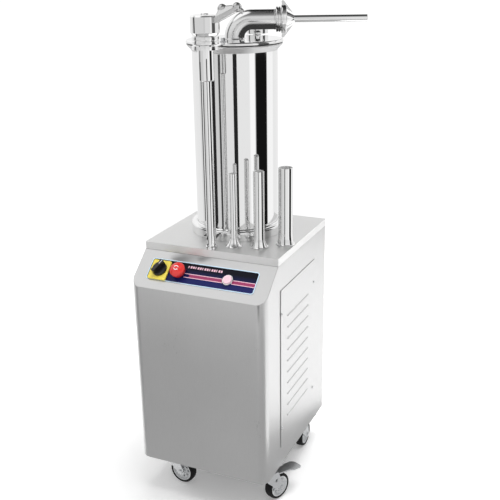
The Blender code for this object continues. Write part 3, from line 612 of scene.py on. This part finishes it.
def cabinet_solid(inset, low_z, high_z, rear, steps=16):
    """The cabinet's plan raised to a solid and cut to its control slope."""
    low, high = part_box("cabinet_shell")
    top_low, top_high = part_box("top_plate")
    radius = CORNER_RADIUS - inset
    left, right, front = low.x + inset, high.x - inset, low.y + inset
    outline = [(right, rear), (left, rear)]
    outline += arc((left + radius, front + radius), radius, 180, 270, steps)
    outline += arc((right - radius, front + radius), radius, 270, 360, steps)
    bm = prism(outline, low_z, high_z)
    normal = -Vector(JOINTS["stop_press"]["axis"])
    point = Vector((0, top_low.y, top_low.z)) - inset * normal
    cut = bmesh.ops.bisect_plane(bm, geom=bm.verts[:] + bm.edges[:] + bm.faces[:], dist=1e-7,
                                 plane_co=point, plane_no=normal, clear_outer=True)
    edges = [item for item in cut["geom_cut"] if isinstance(item, bmesh.types.BMEdge)]
    bmesh.ops.edgeloop_fill(bm, edges=edges)
    return bm


def build_cabinet():
    low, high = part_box("cabinet_shell")
    shell = link_mesh("cabinet_body", cabinet_solid(0, low.z, high.z, high.y))
    merge(shell, CUT, cabinet_solid(SHEET, low.z - 0.02, high.z + 0.02, high.y + 0.02))
    panel_low, panel_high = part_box("access_panel")
    overlap = 0.014
    merge(shell, CUT, block((high.x - 0.01, panel_low.y + overlap, panel_low.z + overlap),
                            (high.x + 0.01, panel_high.y - overlap, panel_high.z - overlap)))
    finish_piece(shell, "upright_brushed", "cabinet", ["cabinet_shell"], 0.0012, steps=3)

    low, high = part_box("top_plate")
    cover = link_mesh("top_cover", prism(rounded_rectangle((low.x, low.y), (high.x, high.y), 0.003),
                                         low.z, high.z))
    merge(cover, CUT, block((low.x + SHEET, low.y + SHEET, low.z - 0.02),
                            (high.x - SHEET, high.y - SHEET, high.z - 0.003)))
    rod_cut(cover, 0.030, -0.01, 0.01, on_axis("filling_cylinder", high.z))
    finish_piece(cover, "cross_brushed", "cabinet", ["top_plate"], 0.0014, steps=3)


def build_side_panel():
    """The access panel with pressed louvres, and the screws along its edges."""
    low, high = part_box("access_panel")
    outline = rounded_rectangle((low.y, low.z), (high.y, high.z), 0.003, 4)
    across = Matrix(((0, 0, 1, 0), (1, 0, 0, 0), (0, 1, 0, 0), (0, 0, 0, 1)))
    panel = link_mesh("side_panel", prism(outline, low.x, high.x, across))
    first, last = 0.047, 0.203        # the louvres' ends, from the panel's front edge
    top, pitch, count = 0.083, 0.033, 10
    depth, height = 0.0022, 0.0065
    for number in range(count):
        z = high.z - top - number * pitch
        slit = block((low.x - 0.01, low.y + first + 0.002, z - height),
                     (high.x + 0.01, low.y + last - 0.002, z - height + 0.0012))
        merge(panel, CUT, slit)
        shape = [(high.x - 0.0006, z - height + 0.0019), (high.x + depth, z - height + 0.0019),
                 (high.x + depth * 0.85, z - height * 0.45), (high.x - 0.0006, z)]
        upright = Matrix(((1, 0, 0, 0), (0, 0, 1, 0), (0, 1, 0, 0), (0, 0, 0, 1)))
        merge(panel, ADD, prism(shape, low.y + first, low.y + last, upright))
    finish_piece(panel, "upright_brushed", "cabinet", ["access_panel"], 0.0004)

    spots = [(0.004, 0.066), (0.004, 0.400), (0.247, 0.066), (0.247, 0.400)]
    heads = [pan_screw(aimed((high.x, low.y + y, high.z - down), (1, 0, 0), (0, 1, 0)))
             for y, down in spots]
    add_piece("side_screws", join(*heads), "zinc", "cabinet")

    rear_low, rear_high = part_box("rear_panel")
    heads = []
    for x in (rear_low.x + 0.012, rear_high.x - 0.012):
        for share in (0.04, 0.35, 0.65, 0.96):
            z = rear_low.z + share * (rear_high.z - rear_low.z)
            heads.append(pan_screw(aimed((x, rear_high.y, z), (0, 1, 0))))
    add_piece("rear_screws", join(*heads), "zinc", "cabinet")


def pan_screw(place, radius=0.0042):
    """A pan-head screw with a cross recess."""
    dome = [(0, 0.0024), (radius * 0.45, 0.0022), (radius * 0.80, 0.0015), (radius, 0.0004),
            (radius, -0.0004), (0, -0.0004)]
    head = link_mesh("head", turned(dome, COARSE))
    for turn in (0, math.pi / 2):
        bar = block((-radius * 0.55, -0.0005, 0.0012), (radius * 0.55, 0.0005, 0.004),
                    Matrix.Rotation(turn, 4, "Z"))
        merge(head, CUT, bar)
    bm = bmesh.new()
    bm.from_mesh(head.data)
    bpy.data.objects.remove(head)
    return moved(bm, place)


# ---- controls

def build_controls():
    """Everything on the slope: x runs along it, y up it, z out of it."""
    out = -Vector(JOINTS["stop_press"]["axis"])
    top_low, top_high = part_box("top_plate")
    cabinet_x = (top_low.x + top_high.x) / 2
    slope = aimed((cabinet_x, top_low.y, top_low.z), out)
    film_top = 0.0009
    left, bottom, right, top = -0.155, -0.088, 0.150, -0.024
    corner, edge = 0.008, 0.0024
    film = rounded_rectangle((left, bottom), (right, top), corner)
    add_piece("overlay_film", prism(film, GAP, film_top, slope), "overlay", "cabinet",
              ["control_overlay"], 0.0002)
    border = link_mesh("overlay_border", prism(film, film_top, film_top + 0.00012, slope))
    hole = rounded_rectangle((left + edge, bottom + edge), (right - edge, top - edge), corner - edge)
    merge(border, CUT, prism(hole, film_top - 0.001, film_top + 0.001, slope))
    finish_piece(border, "border_blue", "cabinet")

    mark_low, mark_high = film_top, film_top + 0.0001
    add_piece("overlay_band", block((-0.036, -0.0668, mark_low), (0.1475, -0.0582, mark_high), slope),
              "stripe_magenta", "cabinet")
    rules = [block((-0.050, y - 0.0009, mark_low), (0.1475, y + 0.0009, mark_high + 0.00005), slope)
             for y in (-0.0572, -0.0678)]
    add_piece("overlay_rules", join(*rules), "stripe_pink", "cabinet")
    dashes = []
    dash_count, pitch = 15, 0.0066
    for number in range(dash_count):
        x = -0.047 + number * pitch
        wide = 0.0044 if number % 3 else 0.0026
        dashes.append(block((x, -0.0405, mark_low), (x + wide, -0.0340, mark_high), slope))
    add_piece("overlay_ticks", join(*dashes), "stripe_pink", "cabinet")

    face = rounded_rectangle((-0.148, -0.0875), (-0.096, -0.031), 0.004)
    plate_top = film_top + GAP + 0.005
    add_piece("switch_face", prism(face, film_top + GAP, plate_top, slope), "yellow_plastic", "cabinet",
              ["switch_plate"], 0.0008)
    build_knob(slope @ at(-0.122, -0.058, plate_top + GAP))
    build_stop(slope @ at(-0.067, -0.057, film_top + GAP))
    build_start(slope @ at(0.0726, -0.0597, film_top + GAP))


def build_knob(place):
    """A cam-switch knob: round skirt, waisted grip and a pale pointer line."""
    skirt = [(0, 0.006), (0.0175, 0.006), (0.0195, 0.0045), (0.0205, 0), (0, 0)]
    knob = link_mesh("cam_knob", turned(skirt, MEDIUM, place))
    grip = [(-0.0185, -0.0050), (-0.006, -0.0042), (0.006, -0.0042), (0.0185, -0.0065), (0.0205, 0),
            (0.0185, 0.0065), (0.006, 0.0042), (-0.006, 0.0042), (-0.0185, 0.0050), (-0.0200, 0)]
    tilt = Matrix.Rotation(math.radians(62), 4, "Z")
    merge(knob, ADD, prism(grip, 0.003, 0.0195, place @ tilt))
    finish_piece(knob, "black_plastic", "switch_knob", ["switch_knob"], 0.0012)
    add_piece("knob_pointer", block((0.006, -0.0008, 0.0194), (0.0185, 0.0008, 0.0197), place @ tilt),
              "pale_mark", "switch_knob")


def build_stop(place):
    """The emergency stop: collar and domed mushroom with two turn arrows."""
    collar = [(0.0165, 0), (0.0165, 0.010), (0.0112, 0.010), (0.0112, 0)]
    add_piece("stop_ring", turned(collar, MEDIUM, place), "dark_red", "cabinet", ["stop_collar"],
              0.0006)
    crown = 0.0255
    dome = [(0, crown)]
    dome += [(r, crown - 0.0068 * (r / 0.0195) ** 2.4)
             for r in (0.005, 0.009, 0.0125, 0.0155, 0.0178, 0.0195)]
    dome += [(0.0205, 0.0165), (0.0195, 0.0080), (0.0175, 0.0080), (0.0175, 0.0165), (0.0105, 0.0165),
             (0.0105, 0.0060), (0, 0.0060)]
    add_piece("stop_mushroom", turned(dome, MEDIUM, place), "red_plastic", "stop_button",
              ["stop_button"], 0.0005)
    arrows = []
    for start in (20, 200):
        inner, outer = 0.0048, 0.0068
        outline = arc((0, 0), outer, start, start + 115, 10)
        outline += arc((0, 0), inner, start + 115, start, 10)
        arrows.append(prism(outline, crown - 0.0018, crown, place))
        tip = math.radians(start + 140)
        base = math.radians(start + 115)
        head_outline = [(0.0088 * math.cos(base), 0.0088 * math.sin(base)),
                        (0.0058 * math.cos(tip), 0.0058 * math.sin(tip)),
                        (0.0028 * math.cos(base), 0.0028 * math.sin(base))]
        arrows.append(prism(head_outline, crown - 0.0018, crown, place))
    add_piece("stop_arrows", join(*arrows), "pale_mark", "stop_button")


def build_start(place):
    bezel = [(0.0150, 0), (0.0150, 0.0035), (0.0146, 0.0044), (0.0138, 0.005), (0.0124, 0.005),
             (0.0124, 0)]
    add_piece("start_ring", turned(bezel, MEDIUM, place), "polished", "cabinet", ["start_bezel"],
              0.0003, slot="zinc")
    button = [(0, 0.0074), (0.006, 0.0076), (0.0095, 0.0080), (0.0112, 0.0080), (0.0120, 0.0072),
              (0.0120, 0.0035), (0, 0.0035)]
    add_piece("start_cap", turned(button, MEDIUM, place), "pale_pink", "start_button", ["start_button"],
              0.0003)
    ring = [(0.0050, 0.0080), (0.0050, 0.0070), (0.0036, 0.0070), (0.0036, 0.0080)]
    add_piece("start_mark", turned(ring, SMALL, place), "stripe_pink", "start_button", slot=None)


# ---- cylinder, piston, lid

def node_radius(node):
    low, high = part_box(node)
    return (high.x - low.x) / 2


def build_cylinder():
    low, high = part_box("filling_cylinder")
    rim = node_radius("filling_cylinder")
    outer = rim - 0.0129
    wall = 0.003
    flare = high.z - 0.0158
    seam = flare - 0.0015
    outline = [(outer, low.z), (outer, seam), (outer - wall, seam), (outer - wall, low.z)]
    add_piece("polished_cylinder", turned(outline, FINEST, on_axis("filling_cylinder")), "mirror",
              "cabinet", ["filling_cylinder"])
    outline = [(outer, seam), (outer + 0.0003, flare - 0.0005), (outer + 0.0014, flare + 0.0010),
               (rim - 0.0012, high.z - 0.0040), (rim, high.z - 0.0026), (rim, high.z - 0.0008),
               (rim - 0.0008, high.z), (rim - wall, high.z), (outer - wall + 0.0014, flare + 0.0010),
               (outer - wall, flare - 0.0010), (outer - wall, seam)]
    add_piece("flared_rim", turned(outline, FINEST, on_axis("filling_cylinder")), "rolled_edge",
              "cabinet")

    low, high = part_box("base_collar")
    radius = node_radius("base_collar")
    inner = outer + GAP
    outline = [(radius, low.z), (radius, high.z - 0.010)]
    outline += arc((radius - 0.006, high.z - 0.008), 0.006, 0, 90, 5)
    outline += [(inner + 0.004, high.z - 0.002), (inner + 0.002, high.z), (inner, high.z),
                (inner, low.z)]
    add_piece("cylinder_foot", turned(outline, FINEST, on_axis("base_collar")), "polished", "cabinet",
              ["base_collar"], 0.0003)

    low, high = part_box("piston")
    radius = node_radius("piston")
    outline = [(0, high.z), (radius - 0.002, high.z), (radius, high.z - 0.002), (radius, low.z + 0.020),
               (0.101, low.z + 0.020), (0.101, low.z + 0.010), (radius, low.z + 0.010), (radius, low.z),
               (0, low.z)]
    add_piece("piston_disc", turned(outline, FINE, on_axis("piston")), "polished", "piston", ["piston"],
              0.0004, slot="brushed_steel")


def build_lid():
    low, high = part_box("lid_seal")
    lid_low, lid_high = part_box("lid")
    centre = middle("lid_seal")
    radius = node_radius("lid")
    bore = 0.0225
    outline = [(bore, lid_high.z), (radius - 0.0045, lid_high.z)]
    outline += arc((radius - 0.0045, lid_high.z - 0.0045), 0.0045, 90, 0, 6)
    outline += [(radius, lid_low.z + 0.001), (radius - 0.001, lid_low.z), (bore, lid_low.z)]
    place = on_axis("lid_seal")
    lid = link_mesh("swing_lid", turned(outline, FINEST, place))
    boss = middle("lid_sleeve")
    boss_radius = node_radius("lid_sleeve")
    ear = arc((boss.x, boss.y), boss_radius, 180, 360, 20)
    neck_y = centre.y - radius + 0.018
    ear += [(centre.x + 0.040, neck_y), (centre.x - 0.040, neck_y)]
    merge(lid, ADD, prism(ear, lid_low.z + 0.0005, lid_high.z - 0.0005))
    below = lid_low.z - 0.01
    groove = [(0.1185, below), (0.1300, below), (0.1300, lid_low.z + 0.0026),
              (0.1245, lid_low.z + 0.0026), (0.1245, lid_low.z + 0.0040), (0.1185, lid_low.z + 0.0040)]
    merge(lid, CUT, turned(groove, 120, place))
    rod_cut(lid, 0.0200, 1.2, 1.3, on_axis("lid_sleeve"))
    finish_piece(lid, "mirror", "lid", ["lid"], 0.0006)

    low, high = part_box("lid_sleeve")
    tube = 0.0197
    outline = [(tube - 0.002, low.z), (tube, low.z + 0.002), (tube, high.z - 0.0195),
               (boss_radius - 0.002, high.z - 0.0195), (boss_radius, high.z - 0.0175),
               (boss_radius, high.z - 0.0110), (boss_radius - 0.0012, high.z - 0.0100),
               (boss_radius - 0.0012, high.z - 0.0088), (boss_radius, high.z - 0.0078),
               (boss_radius, high.z - 0.001), (boss_radius - 0.001, high.z), (0.0126, high.z),
               (0.0126, low.z)]
    add_piece("hinge_sleeve", turned(outline, MEDIUM, on_axis("lid_sleeve")), "mirror", "lid",
              ["lid_sleeve"], 0.0003)

    low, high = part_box("bleed_screw")
    place = on_axis("bleed_screw", low.z)
    washer = turned([(0, 0.0016), (0.0080, 0.0016), (0.0084, 0.0010), (0.0084, 0), (0, 0)], SMALL,
                    place)
    screw = link_mesh("bleed_bolt", washer)
    merge(screw, ADD, prism(hexagon(0.0066), 0.001, 0.0095, place))
    finish_piece(screw, "zinc", "lid", ["bleed_screw"], 0.0005)


def build_posts():
    for name, node in (("front_column", "column"), ("back_post", "rear_post")):
        low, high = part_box(node)
        radius = node_radius(node)
        outline = [(0, high.z), (radius - 0.001, high.z), (radius, high.z - 0.001),
                   (radius, low.z + 0.008), (radius + 0.0030, low.z + 0.0065),
                   (radius + 0.0036, low.z + 0.004), (radius + 0.0036, low.z), (0, low.z)]
        add_piece(name, turned(outline, MEDIUM, on_axis(node)), "mirror", "cabinet", [node], 0.0003)
    low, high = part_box("rear_claw")
    radius = node_radius("rear_claw")
    outline = [(0, high.z), (radius - 0.008, high.z)]
    outline += arc((radius - 0.008, high.z - 0.008), 0.008, 90, 0, 6)
    outline += [(radius, low.z + 0.001), (radius - 0.001, low.z), (0, low.z)]
    add_piece("back_claw", turned(outline, MEDIUM, on_axis("rear_claw")), "mirror", "cabinet",
              ["rear_claw"], 0.0003)


def build_lock():
    low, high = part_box("lock_head")
    centre = Vector(JOINTS["lock_turn"]["pos_m"])
    radius = 0.035
    top = high.z - 0.003
    outline = [(0, high.z), (0.0095, high.z), (0.0105, high.z - 0.001), (0.0110, top),
               (radius - 0.006, top), (radius - 0.002, top - 0.0012), (radius, top - 0.0045),
               (radius, low.z + 0.0075), (radius - 0.0012, low.z + 0.0065),
               (radius - 0.0042, low.z + 0.0012), (radius - 0.0052, low.z), (0.0126, low.z),
               (0.0126, 1.277), (0, 1.277)]
    place = at(centre.x, centre.y)
    add_piece("lock_nut", turned(outline, MEDIUM, place), "mirror", "lock", ["lock_head"], 0.0003)

    reach = math.radians(LEVER_BEARING)
    turn = at(centre.x, centre.y) @ Matrix.Rotation(reach, 4, "Z")
    # the lever's two lobes, before its turn: (x, y, z, radius)
    lobes = [(0.0440, 0, 1.3040, 0.0115), (0.0800, 0, 1.3075, 0.0115)]
    roots = {}
    for radius in (0.0356, 0.0410):
        plan = arc((0, 0), radius, -36, -22, 2)
        roots[radius] = [Vector((x, y, z)) for x, y in plan for z in (1.2730, 1.2860)]
    web = hull([(Vector((x, y, z - 0.002)), size - 0.003) for x, y, z, size in lobes], roots[0.0410])
    lever = link_mesh("cast_lever", moved(web, turn))
    merge(lever, ADD, moved(hull([], roots[0.0356] + roots[0.0410]), turn))
    balls = [[(Vector((x, y, z)), size)] for x, y, z, size in lobes]
    balls.append([(Vector((0.0920, 0, 1.2985)), 0.0060), (Vector(lobes[1][:3]), 0.0060)])
    for ball in balls:
        merge(lever, ADD, moved(hull(ball, []), turn))
    cast(lever, 0.0009, 8)
    finish_piece(lever, "satin", "lock", ["lock_lever"], sharp=60)


def hull(balls, points):
    """The convex hull of balls, given as (centre, radius), and points."""
    bm = bmesh.new()
    for point in points:
        bm.verts.new(point)
    for centre, radius in balls:
        bmesh.ops.create_uvsphere(bm, u_segments=32, v_segments=20, radius=radius,
                                  matrix=Matrix.Translation(centre))
    bmesh.ops.delete(bm, geom=bm.edges[:], context="EDGES_FACES")
    bmesh.ops.convex_hull(bm, input=bm.verts[:])
    loose = [vert for vert in bm.verts if not vert.link_faces]
    bmesh.ops.delete(bm, geom=loose, context="VERTS")
    return bm


def cast(obj, grain, rounds):
    """Blend a piece's joints and edges together, as in a casting."""
    remesh = obj.modifiers.new("remesh", "REMESH")
    remesh.mode = "VOXEL"
    remesh.voxel_size = grain
    smooth = obj.modifiers.new("smooth", "SMOOTH")
    smooth.iterations = rounds
    apply_modifiers(obj)


# ---- outlet and horns

ELBOW_BEND = 0.045              # the radius of its middle line
# Each spare horn: the radius of its flange and of its tube
SPARE_HORNS = {"small": (0.0215, 0.00925), "medium": (0.0235, 0.0140), "large": (0.0245, 0.0185)}


def outlet_frame():
    """Origin above the lid's middle at the horn's height, X along the horn."""
    centre = middle("lid_seal")
    nut = JOINTS["union_nut_turn"]
    return aimed((centre.x, centre.y, nut["pos_m"][2]), (0, 0, 1), nut["axis"])


def build_elbow():
    place = outlet_frame()
    low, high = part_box("elbow")
    foot = low.z - place.translation.z
    outer, bore = 0.0255, 0.0225
    bend = Vector((ELBOW_BEND, 0, -ELBOW_BEND))
    ahead, up = Vector((1, 0, 0)), Vector((0, 0, 1))
    path = [((foot + 0.0018) * up, up)]
    steps = 24
    for step in range(steps + 1):
        angle = math.pi / 2 * step / steps
        reach = Vector((-math.cos(angle), 0, math.sin(angle))) * ELBOW_BEND
        path.append((bend + reach, Vector((math.sin(angle), 0, math.cos(angle)))))
    outside = [(foot * up, up, outer + 0.0024), ((foot + 0.0010) * up, up, outer + 0.0018)]
    outside += [(centre, direction, outer) for centre, direction in path]
    steps_out = [(0.1020, outer), (0.1026, outer + 0.0006), (0.1045, outer + 0.0006), (0.1052, outer),
                 (0.1060, outer), (0.1062, 0.0290), (0.1072, 0.0312), (0.1084, 0.0315),
                 (0.1112, 0.0315), (0.1120, 0.0300), (0.1128, 0.0300), (0.1136, 0.0315),
                 (0.1175, 0.0315), (0.1185, 0.0306), (0.1186, 0.0285), (0.1225, 0.0285)]
    outside += [(a * ahead, ahead, radius) for a, radius in steps_out]
    inside = [(0.1225 * ahead, ahead, bore)]
    inside += [(centre, direction, bore) for centre, direction in reversed(path)]
    inside += [(foot * up, up, bore)]
    add_piece("outlet_elbow", ring_skin(outside + inside, MEDIUM, place), "drawn_tube", "lid",
              ["elbow"])


def horn_outline(flange, flange_height, cone, tube, cone_start, cone_end, length, wall):
    lip = flange - 0.0008
    outline = [(lip, 0), (flange, 0.0008), (flange, flange_height - 0.0008), (lip, flange_height),
               (cone + 0.0010, flange_height), (cone, flange_height + 0.0012), (cone, cone_start),
               (tube + 0.0006, cone_end - 0.0006), (tube, cone_end + 0.0014), (tube, length - 0.0004),
               (tube - 0.0003, length), (tube - wall, length), (tube - wall, cone_end),
               (cone - wall, cone_start), (cone - wall, 0)]
    return outline


def bell_outline(flange, tube, length, wall):
    """A spare horn: a rolled flange, a bell that draws in to the tube, and the tube."""
    steps, base, top, draw = 8, 0.0034, 0.0300, 2.2
    shares = [step / steps for step in range(steps + 1)]
    bell = [(tube + (flange - 0.0025 - tube) * (1 - share) ** draw, base + (top - base) * share)
            for share in shares]
    outline = [(flange - 0.0008, 0), (flange, 0.0008), (flange, base - 0.0008),
               (flange - 0.0008, base)] + bell
    outline += [(tube, length - 0.0004), (tube - 0.0003, length), (tube - wall, length)]
    outline += [(radius - wall, z - wall / 2) for radius, z in reversed(bell)]
    return outline + [(flange - 0.0025 - wall, 0)]


def build_horns():
    place = outlet_frame()
    along = place @ at(0.1228) @ Matrix.Rotation(math.pi / 2, 4, "Y")
    length = 0.339 - 0.1228
    outline = horn_outline(0.0286, 0.0034, 0.0195, 0.009, 0.0120, 0.0305, length, 0.001)
    add_piece("filling_horn", turned(outline, SMALL, along), "mirror", "horn", ["fitted_horn"])

    nut_place = place @ at(0.1200) @ Matrix.Rotation(math.pi / 2, 4, "Y")
    depth, radius, seat = 0.0135, 0.0365, 0.0065
    outline = [(radius - 0.0025, 0), (radius - 0.0006, 0.0010), (radius, 0.0030),
               (radius, depth - 0.0030), (radius - 0.0010, depth - 0.0010), (radius - 0.0030, depth),
               (0.0210, depth), (0.0205, depth - 0.0005), (0.0205, seat), (0.0300, seat), (0.0300, 0)]
    nut = link_mesh("wing_nut", turned(outline, MEDIUM, nut_place))
    tip = 0.0462
    wing = [(0.034, 0.0020), (tip - 0.003, 0.0008), (tip, 0.0030), (tip - 0.0010, 0.0068),
            (0.0150, 0.0300), (0.0260, depth - 0.001)]
    for side in (1, -1):
        web = prism([(side * r, z) for r, z in wing], -0.0035, 0.0035,
                    nut_place @ Matrix.Rotation(math.pi / 2, 4, "X"))
        merge(nut, ADD, web)
    finish_piece(nut, "polished", "union_nut", ["union_nut"], 0.0005)

    wall = 0.0012
    for size, (flange, tube) in SPARE_HORNS.items():
        node = "horn_" + size
        low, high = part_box(node)
        length = high.z - low.z
        outline = bell_outline(flange, tube, length, wall)
        add_piece("spare_horn_" + size, turned(outline, MEDIUM, on_axis(node, low.z)), "mirror", node,
                  [node])
        bore = tube - wall
        outline = [(bore - 0.0001, length - 0.0004), (bore - 0.0005, length - 0.0008),
                   (bore - 0.0005, 0.040), (bore - 0.0001, 0.040)]
        add_piece("horn_lining_" + size, turned(outline, MEDIUM, on_axis(node, low.z)), "horn_inside",
                  node)


# ---- castors

def build_castor(name):
    roll = JOINTS[name + "_roll"]
    hub = Vector(roll["pos_m"])
    pivot = Vector(JOINTS[name + "_swivel"]["pos_m"])
    trail = trail_of(name)
    side_on = aimed((pivot.x, pivot.y, 0), (0, 0, 1), trail) @ Matrix.Rotation(math.pi / 2, 4, "X")
    build_castor_plate(name)
    build_fork(name, side_on, trail.length, hub.z)
    build_wheel(name, aimed(hub, roll["axis"]))
    if name + "_brake" in JOINTS:
        build_pedal(name)


def build_castor_plate(name):
    low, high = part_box(name + "_plate")
    centre = middle(name + "_plate")
    half = (high.x - low.x) / 2
    place = at(centre.x, centre.y)
    plate = link_mesh(name + "_top", prism(rounded_rectangle((-half, -half), (half, half), 0.005),
                                           high.z - 0.003, high.z, place))
    race = [(0, high.z - 0.001), (0.0170, high.z - 0.001), (0.0185, high.z - 0.0045),
            (0.0200, low.z + 0.0015), (0.0195, low.z), (0, low.z)]
    merge(plate, ADD, turned(race, SMALL, place))
    for x in (-1, 1):
        for y in (-1, 1):
            spot = place @ at(x * (half - 0.0055), y * (half - 0.0055))
            merge(plate, ADD, prism(hexagon(0.0042), high.z - 0.0060, high.z - 0.0015, spot))
    finish_piece(plate, "zinc", "cabinet", [name + "_plate"], 0.0003)


def build_fork(name, side_on, reach, axle_z):
    low_z, high_z = 0.0860, 0.0922
    outer, inner = 0.0175, 0.0150
    boss = arc((reach, axle_z), 0.011, -150, 20, 12)
    outline = boss + [(0.0300, 0.074), (0.0262, low_z - 0.002), (0.0240, high_z - 0.002),
                      (0.0215, high_z), (-0.0195, high_z), (-0.0220, high_z - 0.002), (-0.0222, 0.083),
                      (-0.0150, 0.0720)]
    fork = link_mesh(name + "_yoke", prism(outline, -outer, outer, side_on))
    slot = [(-0.030, 0), (0.060, 0), (0.060, low_z), (-0.030, low_z)]
    merge(fork, CUT, prism(slot, -inner, inner, side_on))
    hub = side_on @ at(reach, axle_z)
    rod_cut(fork, 0.0044, -0.03, 0.03, hub, COARSE)
    window = arc((0.016, 0.0680), 0.0045, 0, 330, 11)
    merge(fork, CUT, prism(window, -0.03, 0.03, side_on))
    finish_piece(fork, "zinc", name + "_swivel", [name + "_fork"], 0.0006)

    cheek = outer + GAP
    axle = link_mesh(name + "_bolt", turned(rod(0.004, -cheek, 0.0205), COARSE, hub))
    for side in (-1, 1):
        low, high = sorted((side * cheek, side * (cheek + 0.0030)))
        merge(axle, ADD, prism(hexagon(0.0065), low, high, hub))
    finish_piece(axle, "zinc", name + "_swivel", [name + "_axle"], 0.0004)


def build_wheel(name, place):
    radius, edge, rim = 0.0375, 0.0125, 0.0295      # of the tyre, half its width, and of the core
    outline = [(0.0090, 0.0135), (0.0086, 0.0135), (0.0055, 0.0135), (0.0045, 0.0130),
               (0.0045, -0.0130), (0.0055, -0.0135), (0.0090, -0.0135), (0.0100, -0.0060),
               (0.0120, -0.0045), (0.0235, -0.0045), (0.0262, -0.0070), (0.0268, -0.0108),
               (rim, -0.0108), (rim, 0.0108), (0.0268, 0.0108), (0.0262, 0.0070), (0.0235, 0.0045),
               (0.0120, 0.0045), (0.0100, 0.0060)]
    core = link_mesh(name + "_hub", turned(outline, MEDIUM, place))
    hole_count = 9
    for number in range(hole_count):
        turn = Matrix.Rotation(2 * math.pi * number / hole_count, 4, "Z")
        spot = place @ turn @ at(0.0180)
        rod_cut(core, 0.0040, -0.03, 0.03, spot, 20)
    finish_piece(core, "wheel_plastic", name + "_wheel", [name + "_core"], 0.0003)

    seat = rim + GAP
    tread = [(seat, edge - 0.0012), (seat + 0.0010, edge - 0.0004), (0.0325, edge),
             (0.0345, edge - 0.0006)]
    tread += [(0.0362, edge - 0.0022), (0.0371, edge - 0.0050), (radius, edge - 0.0085)]
    outline = tread + [(r, -z) for r, z in reversed(tread)]
    add_piece(name + "_tread", turned(outline, MEDIUM, place), "tyre_rubber", name + "_wheel",
              [name + "_tyre"])


def build_pedal(name):
    """The brake pedal: a pressed plate, narrower at its neck, with turned-down sides."""
    place = aimed(JOINTS[name + "_brake"]["pos_m"], (0, 0, 1), trail_of(name))
    on_edge = place @ Matrix.Rotation(-math.pi / 2, 4, "X")
    reach, half, neck, shoulder = 0.088, 0.0195, 0.0142, 0.043
    thick, skirt = 0.0016, 0.0034
    plan = [(-0.004, neck), (shoulder, neck), (shoulder + 0.008, half)]
    plan += arc((reach - 0.012, half - 0.012), 0.012, 90, 0, 6)
    plan += [(x, -y) for x, y in reversed(plan)]
    pedal = link_mesh(name + "_lever", prism(plan, -0.03, 0.03, place))
    top = [(-0.010, 0.0015), (0.002, 0.0015), (0.010, 0.0), (0.030, -0.0046), (0.055, -0.0094),
           (0.100, -0.0171)]
    # (depth under the top, where the cut ends, half its width)
    for depth, end, width in ((0, 0.05, 0.05), (thick, -0.06, neck - thick), (skirt, -0.06, 0.05)):
        cut = [(x, depth - z) for x, z in top] + [(0.100, -end), (-0.010, -end)]
        merge(pedal, CUT, prism(cut, -width, width, on_edge))
    finish_piece(pedal, "zinc", name + "_pedal", [name + "_pedal"], 0.0004)


def trail_of(name):
    """From a castor's swivel axis to its wheel, level."""
    ends = [Vector(JOINTS[name + part]["pos_m"]) for part in ("_swivel", "_roll")]
    return Vector((ends[1].x - ends[0].x, ends[1].y - ends[0].y, 0))


# ---- kept CAD nodes

def dress_kept_nodes():
    """The plain inner parts keep their CAD shape and get a finished material."""
    finishes = {"rear_panel": "upright_brushed", "base_plate": "cross_brushed",
                "piston_seal": "seal_rubber", "lid_seal": "seal_rubber", "piston_rod": "mirror",
                "ram_barrel": "dark_paint", "ram_gland": "polished", "oil_tank": "dark_paint",
                "motor": "dark_paint", "pump": "zinc", "pressure_hose": "black_plastic"}
    for node, look in finishes.items():
        mesh = frame["nodes"][node].data
        mesh.materials.clear()
        mesh.materials.append(LOOKS[look][0])


def main():
    bpy.context.scene.view_settings.view_transform = "Standard"
    place_camera()
    build_stage()
    build_materials()
    build_cabinet()
    build_side_panel()
    build_controls()
    build_cylinder()
    build_lid()
    build_posts()
    build_lock()
    build_elbow()
    build_horns()
    for corner in ("front_left", "front_right", "rear_right", "rear_left"):
        build_castor("castor_" + corner)
    dress_kept_nodes()


main()
